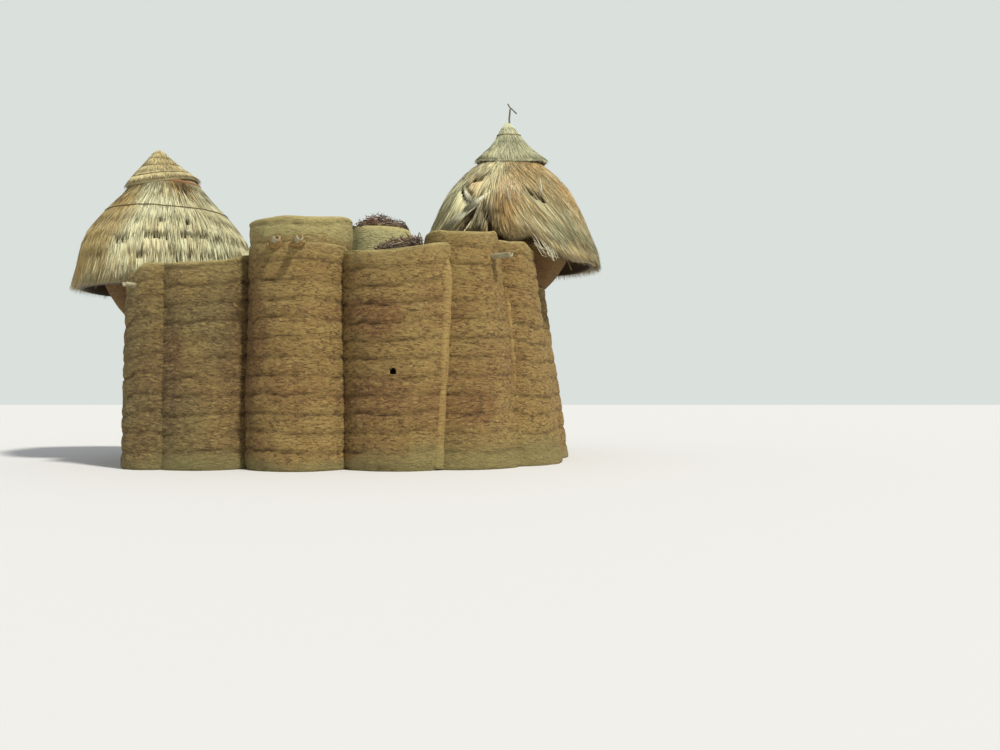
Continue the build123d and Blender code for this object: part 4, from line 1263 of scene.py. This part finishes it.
# Layers: run to the tips and share of stalks
EAST_STALKS = 1480
EAST_LAYERS = (
    (0.42, 0.8), (0.80, 0.9), (1.15, 1.0), (1.5, 1.1), (1.85, 1.2), (2.15, 1.3), (2.36, 1.3)
)


def build_east_roof():
    """Solid bell of straw, its stalks, its torn eave and its loose sheaves."""
    random = np.random.default_rng(19)
    bell("east_thatch_body", east_skirt, 0.17, 230, 58, 401, lambda a: east_eave(a) - 0.05,
         EAST_HOLLOWS, tan_straw, "tan_thatch", "east_thatch_skirt", 0.62)
    layers = []
    for edge, share in EAST_LAYERS:
        layer = straw_layer(random, int(EAST_STALKS * share), edge, 0.85, 20, east_drift, 0.028,
                            0.4)
        layer = cut_to_edge(layer, east_eave, random)
        layer = trim_hollows(layer, EAST_HOLLOWS, random, 0.94)
        layers.append(trim_hollows(layer, CREVICE, random))
    piece, each, data = lay_straw("east_thatch", east_skirt, layers, random, 0.017, curl=0.03)
    shade, warmth, depth = east_tones(random, data)
    paint_straw(piece, each, shade, warmth, depth)
    piece.data.materials.append(tan_straw)
    settle(piece, "tan_thatch")
    eave("east_eave_straw", east_skirt, east_eave, east_drift, random, tan_straw,
         "tan_thatch", 0.25, east_dusk, EAST_HOLLOWS)

    bunches = [sheaf(random, *row[:6]) for row in SHEAVES]
    piece, each, _ = lay_straw("east_sheaves", east_skirt, bunches, random, 0.012, 0.03, 0.1)
    counts = [row[2] for row in SHEAVES]
    shade, warmth, dark = [np.repeat(v, counts) for v in zip(*(row[6:] for row in SHEAVES))]
    total = sum(counts)
    shade = shade + 0.4 * (random.random(total) - 0.5)
    warmth = warmth + 0.2 * (random.random(total) - 0.5)
    flecks = np.where(random.random(total) < 0.1, 0.4, 0.0)
    paint_straw(piece, each, shade, warmth, flecks + dark * random.random(total))
    piece.data.materials.append(loose_straw_painted_light)
    settle(piece, "tan_thatch")


build_east_roof()


# Caps of tight straw

class CapOutline(Outline):
    """Cap that sits tilted, with one side of its edge drawn lower."""

    def __init__(self, x, y, points, lean=(0.0, 0.0), tilt=0.0, droop=0.0, drop=0.0):
        super().__init__(x, y, points, lean)
        self.tilt = tilt
        self.droop = droop
        self.drop = drop

    def place(self, run, angle, lift):
        run = np.asarray(run, float)
        front = np.clip(np.cos(np.asarray(angle) + math.pi / 2), 0, 1) ** 2
        share = np.clip(run / self.length, 0, 1.2)
        where = super().place(run + self.droop * front * share ** 2, angle, lift)
        where[..., 2] += self.tilt * (where[..., 0] - self.x) * share
        where[..., 2] -= self.drop * front * share ** 2
        return where


west_cap = CapOutline(
    west_x - 0.12, west_y,
    [(0.025, 5.695), (0.08, 5.65), (0.17, 5.55), (0.30, 5.41), (0.44, 5.27), (0.56, 5.16),
     (0.66, 5.045)],
    lean=(-0.075, 0.0), tilt=0.14, droop=0.03, drop=0.07,
)
east_cap = CapOutline(
    east_x + 0.037, east_y,
    [(0.05, 6.385), (0.075, 6.34), (0.14, 6.26), (0.205, 6.16), (0.262, 6.03), (0.36, 5.93),
     (0.47, 5.835), (0.575, 5.755), (0.66, 5.68), (0.71, 5.63)],
    lean=(-0.073, 0.0), droop=0.25, drop=0.165,
)


def build_cap(name, outline, node, material, seed, layers, width, length, curl, warm, hem):
    """Cap of tight straw: a closed body, and stalks laid on it layer by layer."""
    random = np.random.default_rng(seed)
    rows, columns = 24, 96
    turn = np.linspace(0, TAU, columns, endpoint=False)
    run = np.linspace(0.02, outline.length - 0.03, rows)
    grid_run, grid_turn = [v.ravel() for v in np.meshgrid(run, turn, indexing="ij")]
    outer = outline.place(grid_run, grid_turn, -0.012)
    outer += 0.006 * np.stack([noise(outer, 0.08, seed + k) for k in range(3)], axis=1)
    inner = outline.place(grid_run, grid_turn, -0.055)
    inner = inner.reshape(rows, columns, 3)[::-1].reshape(-1, 3)
    faces = grid_faces(2 * rows, columns, True, True)[:, ::-1]
    body = mesh_piece(name + "_body", np.concatenate([outer, inner]), [faces])
    # Painted shade: the body is dark between the stalks and darker inside
    paint_straw(body, 1, 0.4, 0.3, np.repeat([0.35, 0.8], rows * columns))
    body.data.materials.append(material)
    settle(body, "cap_straw", node)
    stalks = [
        straw_layer(random, count, edge * outline.length, length, 30, np.zeros_like, 0.014,
                    scatter, 0.01)
        for edge, count, scatter in layers
    ]
    piece, each, data = lay_straw(name, outline, stalks, random, width, curl, 0.02)
    shade, warmth, dark = straw_tones(random, data, 0.63, warm, 0.8)
    tips = smooth_step(0.9, 1.0, data["tip"] / outline.length)
    paint_straw(piece, each, shade + hem * tips, warmth, 0.8 * dark)
    piece.data.materials.append(material)
    settle(piece, "cap_straw")


build_cap("west_cap", west_cap, "west_thatch_cap", cap_gold, 31,
          ((0.2, 160, 0.1), (0.36, 340, 0.12), (0.56, 560, 0.14), (0.76, 760, 0.12),
           (1.0, 1100, 0.07)), 0.014, 0.34, 0.02, 0.26, 0.1)
build_cap("east_cap", east_cap, "east_thatch_cap", cap_grey, 43,
          ((0.2, 160, 0.05), (0.42, 480, 0.25), (0.72, 800, 0.3), (1.0, 1100, 0.05)),
          0.012, 0.5, 0.005, 0.14, -0.12)


# Straw ropes round the caps and the west roof

def rope(name, outline, run, lift, radius, seed, wave, material=rope_straw, nodes=()):
    """Closed ring of rope that lies on an outline."""
    stations, sides = 96, 6
    turn = np.linspace(0, TAU, stations + 1)[:-1]
    flat = np.stack([np.cos(turn), np.sin(turn), 0 * turn], axis=1)
    there = run + wave * noise(flat, 0.5, seed) + 0.4 * wave * noise(flat, 0.15, seed + 1)
    path = outline.place(there, turn, lift + 0.004 * noise(flat, 0.1, seed + 2))
    up = outline.place(there, turn, lift + 0.05) - path
    along = np.roll(path, -1, axis=0) - np.roll(path, 1, axis=0)
    along /= np.linalg.norm(along, axis=1, keepdims=True)
    across = np.cross(along, up)
    across /= np.linalg.norm(across, axis=1, keepdims=True)
    up = np.cross(across, along)
    around = TAU * np.arange(sides) / sides
    thick = radius * (1 + 0.25 * noise(flat, 0.07, seed + 3))[:, None, None]
    ring = path[:, None, :] + thick * (
        np.cos(around)[None, :, None] * across[:, None, :]
        + np.sin(around)[None, :, None] * up[:, None, :]
    )
    faces = grid_faces(stations, sides, True, True)[:, ::-1]
    piece = mesh_piece(name, ring.reshape(-1, 3), [faces])
    for layer, value in (("shade", 0.3), ("warmth", 0.3), ("depth", 0.35)):
        paint(piece, layer, value)
    piece.data.materials.append(material)
    settle(piece, "straw_rope", *nodes)


# Each rope's outline, run, lift, radius, seed and wave
for tie in (
    ("west_cap_tie_high", west_cap, 0.24, 0.008, 0.010, 3, 0.008, rope_straw, ["west_roof_ties"]),
    ("west_cap_tie_middle", west_cap, 0.45, 0.008, 0.010, 5, 0.008),
    ("west_cap_tie_low", west_cap, 0.70, 0.008, 0.011, 7, 0.01),
    ("west_roof_tie", west_skirt, 0.86, 0.02, 0.010, 9, 0.035),
    # A dark reddish ring under the west cap, partly painted shadow of the cap
    ("west_roof_binding", west_skirt, 0.12, 0.0, 0.03, 10, 0.008, binding_and_shadow_straw),
    ("east_cap_tie_high", east_cap, 0.29, 0.017, 0.008, 11, 0.008, rope_straw, ["east_roof_ties"]),
    ("east_cap_tie_low", east_cap, 0.44, 0.017, 0.008, 13, 0.008),
):
    rope(*tie)


# Timber: every log of a node is made again, a little crooked

def islands(node):
    """Vertices of each separate solid of a node."""
    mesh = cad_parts[node].data
    count = len(mesh.vertices)
    label = list(range(count))

    def find(i):
        while label[i] != i:
            label[i] = label[label[i]]
            i = label[i]
        return i

    points = positions(mesh)
    same = {}
    for i, key in enumerate(map(tuple, np.round(points, 5))):
        same.setdefault(key, i)
        a, b = find(i), find(same[key])
        if a != b:
            label[a] = b
    for edge in mesh.edges:
        a, b = find(edge.vertices[0]), find(edge.vertices[1])
        if a != b:
            label[a] = b
    groups = {}
    for i in range(count):
        groups.setdefault(find(i), []).append(i)
    return [points[g] for g in groups.values() if len(g) > 7]


def main_axis(points):
    """Both ends of a long solid along its main direction, and its radius."""
    middle = (points.min(axis=0) + points.max(axis=0)) / 2
    spread = points - points.mean(axis=0)
    direction = np.linalg.svd(spread, full_matrices=False)[2][0]
    if direction[np.argmax(np.abs(direction))] < 0:
        direction = -direction
    along = (points - middle) @ direction
    off = (points - middle) - along[:, None] * direction
    start = middle + direction * along.min()
    end = middle + direction * along.max()
    return start, end, np.linalg.norm(off, axis=1).max()


SKEW = np.array([0.31, 0.52, 0.79])


def logs_like(node, name, material, seed, sides, stations, bend, inset=0.0):
    """Crooked round logs inside the plain ones of a node."""
    random = np.random.default_rng(seed)
    paths = []
    radii = []
    for points in islands(node):
        start, end, radius = main_axis(points)
        share = np.linspace(inset, 1 - inset, stations)[:, None]
        path = start + (end - start) * share
        line = np.concatenate([share * 3 + 10 * random.random(), share * 0 + seed, share * 0], 1)
        side = np.cross(end - start, SKEW)
        side /= np.linalg.norm(side)
        other = np.cross(end - start, side)
        other /= np.linalg.norm(other)
        for k, across in enumerate((side, other)):
            path = path + bend * radius * noise(line, 1.0, seed + k)[:, None] * across
        paths.append(path)
        radii.append(radius * (0.86 - bend * 0.8) * (1 + 0.08 * noise(line, 0.35, seed + 2)))
    ups = np.tile(SKEW, (len(paths), stations, 1))
    piece, _ = tubes(name, np.array(paths), np.array(radii), ups, sides, 1.0, pointed=False)
    piece.data.materials.append(material)
    settle(piece, "weathered_timber", node)


# Each node's piece, wood, seed, sides, stations, bend and inset at the ends
for log in (
    ("forked_posts", "crooked_posts", post_wood, 61, 14, 18, 0.12, 0.003),
    ("terrace_beams", "crooked_beams", beam_wood, 62, 12, 24, 0.12),
    ("terrace_joists", "crooked_joists", joist_wood, 63, 8, 20, 0.12),
    ("door_lintel", "crooked_lintel", beam_wood, 64, 12, 14, 0.1),
    ("west_rafters", "west_poles", post_wood, 65, 7, 12, 0.12),
    ("east_rafters", "east_poles", post_wood, 66, 7, 12, 0.12),
):
    logs_like(*log)


def trough(name, node, seed):
    """Weathered half logs, hollowed above, inside the plain ones of a node."""
    stations, arc = 16, 12
    turn = np.linspace(0.86 * math.pi, 2.14 * math.pi, arc)
    vertices, faces = [], []
    for points in islands(node):
        first = len(vertices)
        low, high = points.min(axis=0), points.max(axis=0)
        start, end, _ = main_axis(points)
        if abs(end[1]) < abs(start[1]):
            start, end = end, start
        direction = (end - start) / np.linalg.norm(end - start)
        direction[2] = 0
        direction /= np.linalg.norm(direction)
        across = np.array([-direction[1], direction[0], 0.0])
        radius = high[2] - low[2]
        middle = (low + high) / 2
        half = np.abs((points - middle) @ direction).max()
        for step in np.linspace(-1, 1, stations):
            wear = 0.93 + 0.05 * hashed(int(step * 40), seed, first, 3)
            centre = middle + direction * half * step * 0.985
            for share, turns in ((wear, turn), (0.55, turn[::-1])):
                for t in turns:
                    ripple = 1 + 0.03 * hashed(int(t * 9), int(step * 25), seed, 4)
                    r = radius * share * ripple
                    vertices.append(
                        [centre[0] + across[0] * r * math.cos(t),
                         centre[1] + across[1] * r * math.cos(t),
                         high[2] + r * math.sin(t) - 0.004]
                    )
        faces += closed_tube_faces(stations, 2 * arc, first)
    piece = mesh_piece(name, vertices, faces)
    piece.data.materials.append(spout_wood)
    settle(piece, "spout_wood", node)


trough("great_tower_troughs", "great_tower_spouts", 71)
trough("turret_trough", "turret_spout", 72)
trough("west_tower_trough", "west_tower_spout", 73)

# Lumps of a collar: places across, out and up from the spout's middle, and half sizes
COLLAR_LUMPS = (
    (0.0, 0.0, 0.0, (0.115, 0.075, 0.085)), (0.06, 0.0, 0.075, (0.05, 0.05, 0.035)),
    (-0.1, 0.01, -0.03, (0.05, 0.045, 0.04)),
)


def mud_collars(name, node, wall, seed):
    """Lumps of earth pressed round the roots of the spouts of a tower."""
    rings, columns = 12, 20
    tilt = np.linspace(0.04, math.pi - 0.04, rings)[:, None] * np.ones((1, columns))
    turn = np.linspace(0, TAU, columns, endpoint=False)[None, :] * np.ones((rings, 1))
    ball = np.stack(
        [np.sin(tilt) * np.cos(turn), np.sin(tilt) * np.sin(turn), np.cos(tilt)], axis=-1
    ).reshape(-1, 3)
    lumps, faces = [], []
    for points in islands(node):
        middle = (points.min(axis=0) + points.max(axis=0)) / 2
        reach = float(wall.outer(middle[2])) - 0.02
        y = wall.y - math.sqrt(reach ** 2 - (middle[0] - wall.x) ** 2)
        for across, along, rise, size in COLLAR_LUMPS:
            lump = np.array([middle[0] + across, y + along, middle[2] + rise]) + ball * size
            faces += closed_tube_faces(rings, columns, len(lumps) * len(ball))
            lumps.append(lump + 0.022 * noise(lump, 0.05, seed)[:, None] * ball)
    piece = mesh_piece(name, np.concatenate(lumps), faces)
    paint_earth(piece, red=0.4)
    piece.data.materials.append(seam_earth)
    settle(piece, "wall_earth")


mud_collars("great_spout_collars", "great_tower_spouts", great, 74)


# Forked stick on the east roof

def stick(name, routes, material, slot, nodes):
    """Thin crooked stick with branches, from routes of points with radii."""
    stations = 14
    paths = []
    radii = []
    for index, (points, thick) in enumerate(routes):
        points = np.array(points, float)
        run = np.concatenate([[0], np.cumsum(np.linalg.norm(np.diff(points, axis=0), axis=1))])
        share = np.linspace(0, run[-1], stations)
        path = np.stack([np.interp(share, run, points[:, k]) for k in range(3)], axis=1)
        path += 0.004 * np.stack([noise(path, 0.06, index + k) for k in range(3)], axis=1)
        paths.append(path)
        knots = 1 + 0.14 * noise(path, 0.035, index + 9)
        radii.append(np.interp(share, (0, run[-1]), thick) * knots)
    ups = np.tile(np.array([0.1, 1.0, 0.2]), (len(paths), stations, 1))
    piece, _ = tubes(name, np.array(paths), np.array(radii), ups, 9, 1.0, pointed=False)
    piece.data.materials.append(material)
    settle(piece, slot, *nodes)


finial_low, finial_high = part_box("east_finial")
top = finial_high.z - 0.012
stick(
    "forked_finial",
    (
        (((east_x, east_y, finial_low.z + 0.02), (east_x - 0.006, east_y, top - 0.30),
          (east_x + 0.014, east_y, top - 0.11)), (0.021, 0.016)),
        (((east_x - 0.034, east_y, top - 0.008), (east_x + 0.006, east_y, top - 0.075),
          (east_x + 0.04, east_y, top - 0.105), (east_x + 0.135, east_y, top - 0.195)),
         (0.013, 0.014)),
    ),
    finial_wood, "weathered_timber", ["east_finial"],
)


# Heaps of dry branches

def branch_heap(name, node, ridge, half_depth, bed, counts, long, thick, seed, upright, ember):
    """Tangle of dry branches between its bed and a ridge line, with twigs that stick out."""
    random = np.random.default_rng(seed)
    low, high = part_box(node)
    middle = np.array([(low.x + high.x) / 2, (low.y + high.y) / 2])
    places, heights = np.array(ridge, float).T
    count, spikes = counts
    total = count + spikes
    loose = np.arange(total) >= count
    x = places[0] + (places[-1] - places[0]) * random.random(total)
    across = 2 * random.random(total) - 1
    centre_share = np.abs(2 * (x - places[0]) / (places[-1] - places[0]) - 1)
    deep = half_depth * np.sqrt(np.clip(1 - centre_share ** 2, 0.05, 1))
    peak = np.interp(x, places, heights) - 0.12 * across ** 2
    floor_level = bed(x - middle[0], deep * across)
    share = np.where(loose, 0.75 + 0.25 * random.random(total), random.random(total) ** 0.7)
    level = floor_level + np.maximum(peak - floor_level, 0.02) * share
    start = np.stack([x, middle[1] + deep * across, level], axis=1)
    heading = TAU * random.random(total)
    rise = np.where(loose, 0.5 + 2.2 * random.random(total), upright * (random.random(total) - 0.4))
    direction = np.stack([np.cos(heading), np.sin(heading), rise], axis=1)
    direction /= np.linalg.norm(direction, axis=1, keepdims=True)
    stations = 5
    length = np.where(loose, 0.35, 1.0) * long * (0.4 + 0.8 * random.random(total))
    step = np.linspace(-0.5, 0.5, stations)[None, :] + 0.4 * loose[:, None]
    paths = start[:, None, :] + direction[:, None, :] * (length[:, None] * step)[:, :, None]
    for k in range(3):
        wiggle = random.random((total, stations)) - 0.5
        paths[:, :, k] += 0.07 * wiggle * length[:, None]
    paths[:, :, 0] = np.clip(paths[:, :, 0], places[0], places[-1])
    side = paths[:, :, 1] - middle[1]
    paths[:, :, 1] = middle[1] + np.clip(side, -half_depth, half_depth)
    roof = np.interp(paths[:, :, 0], places, heights)
    roof = roof + np.where(loose, 0.12, 0.02)[:, None] * random.random((total, 1))
    bed_level = bed(paths[:, :, 0] - middle[0], paths[:, :, 1] - middle[1])
    paths[:, :, 2] = np.clip(paths[:, :, 2], bed_level + 0.008, np.maximum(roof, bed_level + 0.02))
    taper = np.linspace(1.0, 0.4, stations)[None, :]
    radii = thick * (0.5 + random.random((total, 1))) * taper
    ups = np.tile(np.array([0.37, 0.21, 0.9]), (total, stations, 1))
    piece, each = tubes(name, paths, radii, ups, 4, 1.0)
    near = np.exp(-((start - np.array(ember)) / (0.13, 0.3, 0.07)) ** 2).prod(axis=1)
    warmth = 0.35 * random.random(total) ** 3 + 1.2 * near * random.random(total)
    paint(piece, "shade", np.repeat(random.random(total), each))
    paint(piece, "warmth", np.repeat(np.clip(warmth, 0, 1), each))
    piece.data.materials.append(twig_wood)
    settle(piece, "dry_branches", node)


# Middle pot's shoulder as radius and level, then the ridge lines of both heaps along x
POT_SHOULDER = (
    (0.542, 3.75), (0.543, 3.85), (0.54, 3.93), (0.535, 4.0), (0.527, 4.06), (0.515, 4.105),
    (0.498, 4.135), (0.475, 4.155), (0.44, 4.168), (0.39, 4.176), (0.33, 4.182), (0.275, 4.186),
    (0.264, 4.187)
)
POT_RIDGE = (
    (-0.53, 4.19), (-0.42, 4.28), (-0.27, 4.35), (-0.15, 4.42), (-0.06, 4.46), (0.0, 4.45),
    (0.07, 4.38), (0.18, 4.33), (0.32, 4.31), (0.40, 4.27), (0.45, 4.2)
)
PILE_RIDGE = (
    (0.80, 3.66), (0.84, 3.76), (1.04, 3.83), (1.22, 3.88), (1.35, 3.92), (1.50, 3.95), (1.60, 3.9)
)
pot_low, pot_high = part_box("middle_granary_pot")
pot_x = (pot_low.x + pot_high.x) / 2
pot_y = (pot_low.y + pot_high.y) / 2
pile_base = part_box("terrace_wood_pile")[0].z
PILE_BED = 0.35


def pot_bed(x, y):
    """Level of the middle pot's shoulder, and of the heap over its mouth."""
    radius, level = np.array(POT_SHOULDER).T
    level = np.interp(np.hypot(x, y), radius[::-1], level[::-1])
    return np.maximum(level, np.where(x < 0, 4.15, 4.09))


def pile_bed(x, y):
    """Level that the wood pile's twigs lie on."""
    return np.full_like(x, pile_base + PILE_BED)


branch_heap("pot_twigs", "pot_branches", [(pot_x + a, b) for a, b in POT_RIDGE], 0.42, pot_bed,
            (420, 110), 0.4, 0.0068, 81, 0.6, (pot_x - 0.1, pot_y - 0.3, 4.27))
branch_heap("terrace_twigs", "terrace_wood_pile", PILE_RIDGE, 0.26, pile_bed,
            (560, 60), 0.45, 0.0085, 82, 1.0, (1.25, -1.6, 3.85))


# Earth pots, roofs and the terrace

def pot_shell(name, node, material, out_angle, seed, wear=0.012, mouth_lift=0.0, shoulder=()):
    """Hand-shaped pot a little inside the plain one."""
    steps, columns, edge = 44, 120, 0.004
    low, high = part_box(node)
    middle = (low + high) / 2
    tree = solid_tree(node)
    out = Vector((math.cos(out_angle), math.sin(out_angle), 0))

    def reach(z, outward):
        """Radius of the pot's inner or outer face at a level."""
        axis = Vector((middle.x, middle.y, z))
        start, along = (axis, out) if outward else (axis + out * 4, -out)
        hit = tree.ray_cast(start, along)[0]
        return None if hit is None else math.hypot(hit.x - middle.x, hit.y - middle.y)

    heights = np.linspace(low.z + edge, high.z - edge, steps)
    outer = [(reach(z, False), z) for z in heights if not shoulder or z < shoulder[0][1]]
    outer += list(shoulder)
    down = tree.ray_cast(Vector((middle.x + 0.01, middle.y, high.z + 1)), Vector((0, 0, -1)))[0]
    floor_level = down.z
    heights = np.linspace(high.z - edge, floor_level + 0.03, len(outer) // 2)
    inner = [(reach(z, True), z) for z in heights]
    path = [(0.01, low.z + edge), (outer[0][0] * 0.5, low.z + edge)] + outer + inner
    path += [(inner[-1][0] * 0.6, floor_level), (0.01, floor_level)]
    path = np.array([p for p in path if p[0] is not None])
    turn = np.linspace(0, TAU, columns, endpoint=False)[None, :]
    r, z = [values[:, None] * np.ones((1, columns)) for values in path.T]

    def places():
        """Places of the pot's skin from its radii and levels."""
        x = middle.x + r * np.cos(turn)
        y = middle.y + r * np.sin(turn)
        return np.stack([x.ravel(), y.ravel(), z.ravel()], axis=1)

    points = places()
    outside = (np.arange(len(path)) < len(outer) + 2)[:, None] * np.ones((1, columns))
    if shoulder:
        left = outside * smooth_step(0.0, 0.9, -np.cos(turn))
        z = z + 0.04 * left * smooth_step(0.36, 0.5, r) * smooth_step(3.8, 4.08, z)
        r = r + 0.03 * left * smooth_step(3.4, 3.7, z) * smooth_step(0.36, 0.5, r)
    coarse = 0.6 * noise(points, 0.45, seed)
    fine = 0.4 * noise(points * (1, 1, 2), 0.12, seed)
    dent = (wear * (1 + coarse + fine)).reshape(r.shape) * np.where(outside > 0, 1.0, -0.5)
    r = np.maximum(r - dent, 0.004)
    points = places()
    piece = mesh_piece(name, points, closed_tube_faces(len(path), columns))
    paint_earth(
        piece, red=smooth_step(-0.2, 0.8, noise(points, 0.5, seed + 4)) * 0.6,
        rim=smooth_step(high.z - 0.25, high.z - 0.02, points[:, 2]) * mouth_lift,
    )
    piece.data.materials.append(material)
    settle(piece, "granary_earth", node)


pot_shell("west_pot", "west_granary_pot", pot_earth, math.pi, 91)
pot_shell("east_pot", "east_granary_pot", pot_earth, 0.3, 92)
pot_shell("middle_pot", "middle_granary_pot", middle_pot_earth, 0.3, 93, wear=0.004, mouth_lift=1.0,
          shoulder=POT_SHOULDER)


def worn_copy(node, name, material, slot, voxel, depth, seed):
    """Copy of a node's solid, remeshed finely and worn down a little."""
    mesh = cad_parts[node].data.copy()
    piece = link(name, mesh)
    modifier = piece.modifiers.new("fine", "REMESH")
    modifier.mode = "VOXEL"
    modifier.voxel_size = voxel
    bpy.context.view_layer.update()
    shaped = piece.evaluated_get(bpy.context.evaluated_depsgraph_get())
    fine = bpy.data.meshes.new_from_object(shaped)
    piece.modifiers.clear()
    piece.data = fine
    bpy.data.meshes.remove(mesh)
    points = positions(fine)
    normals = np.array([v.normal for v in fine.vertices])
    wear = depth * (1 + 0.6 * noise(points, 0.7, seed) + 0.4 * noise(points, 0.15, seed + 1))
    points = points - normals * np.maximum(wear, 0)[:, None]
    fine.vertices.foreach_set("co", points.ravel().astype(np.float32))
    fine.update()
    fine.materials.clear()
    fine.materials.append(material)
    fine.polygons.foreach_set("use_smooth", np.ones(len(fine.polygons), bool))
    paint_earth(piece, red=0.5 * smooth_step(0.0, 0.8, noise(points, 0.9, seed + 3)))
    settle(piece, slot, node)


# Beaten roofs: node, piece, voxel, wear and seed
for node, name, voxel, wear, seed in (
    ("terrace_floor", "beaten_terrace", 0.06, 0.012, 95),
    ("great_tower_roof", "beaten_great_roof", 0.04, 0.01, 96),
    ("turret_roof", "beaten_turret_roof", 0.04, 0.01, 97),
    ("west_tower_roof", "beaten_west_roof", 0.04, 0.01, 98),
    ("rear_tower_roofs", "beaten_rear_roofs", 0.04, 0.01, 99),
):
    worn_copy(node, name, roof_earth, "roof_earth", voxel, wear, seed)
for node in ("west_roof_ring", "east_roof_ring"):
    worn_copy(node, node + "_bound", rope_straw, "straw_rope", 0.025, 0.006, 100)


# Floor, backdrop, light and camera

floor = mesh_piece(
    "floor", [(-60, -60, 0), (60, -60, 0), (60, 60, 0), (-60, 60, 0)], [[(0, 1, 2, 3)]]
)
floor.data.materials.append(Shader("floor_paper", 0.9).finish(srgb(226, 224, 220)))


def sky_world():
    """Soft light on the object, and a pale backdrop where the world itself is seen."""
    world = bpy.data.worlds.new("sky")
    world.use_nodes = True
    nodes = world.node_tree.nodes
    links = world.node_tree.links
    sky = nodes["Background"]
    backdrop = nodes.new("ShaderNodeBackground")
    for background, colour, strength in (
        (sky, (0.88, 0.93, 1.0, 1), 0.45), (backdrop, srgb(218, 224, 220), 1.0)
    ):
        background.inputs["Color"].default_value = colour
        background.inputs["Strength"].default_value = strength
    rays = nodes.new("ShaderNodeLightPath")
    seen = rays.outputs["Is Camera Ray"]
    for kind in ("Is Glossy Ray", "Is Transmission Ray"):
        either = nodes.new("ShaderNodeMath")
        either.operation = "MAXIMUM"
        links.new(seen, either.inputs[0])
        links.new(rays.outputs[kind], either.inputs[1])
        seen = either.outputs[0]
    blend = nodes.new("ShaderNodeMixShader")
    for slot, source in enumerate((seen, sky.outputs[0], backdrop.outputs[0])):
        links.new(source, blend.inputs[slot])
    links.new(blend.outputs[0], nodes["World Output"].inputs["Surface"])
    return world


bpy.context.scene.world = sky_world()

lamp = bpy.data.lights.new("key", "SUN")
lamp.energy = 3.2
lamp.angle = math.radians(6)
lamp.color = (1.0, 0.98, 0.93)
key = link("key", lamp)
key.rotation_euler = (math.radians(42), 0, math.radians(50))

lens = bpy.data.cameras.new("camera")
lens.sensor_width = 36
lens.lens = 36 * FOCAL_SHARE
lens.shift_y = HORIZON_SHIFT
lens.clip_end = 500
camera = link("camera", lens)
camera.location = (CAMERA_X, CAMERA_Y, EYE_HEIGHT)
camera.rotation_euler = (math.radians(90), 0, 0)
scene = bpy.context.scene
scene.camera = camera
scene.view_settings.view_transform = "Standard"
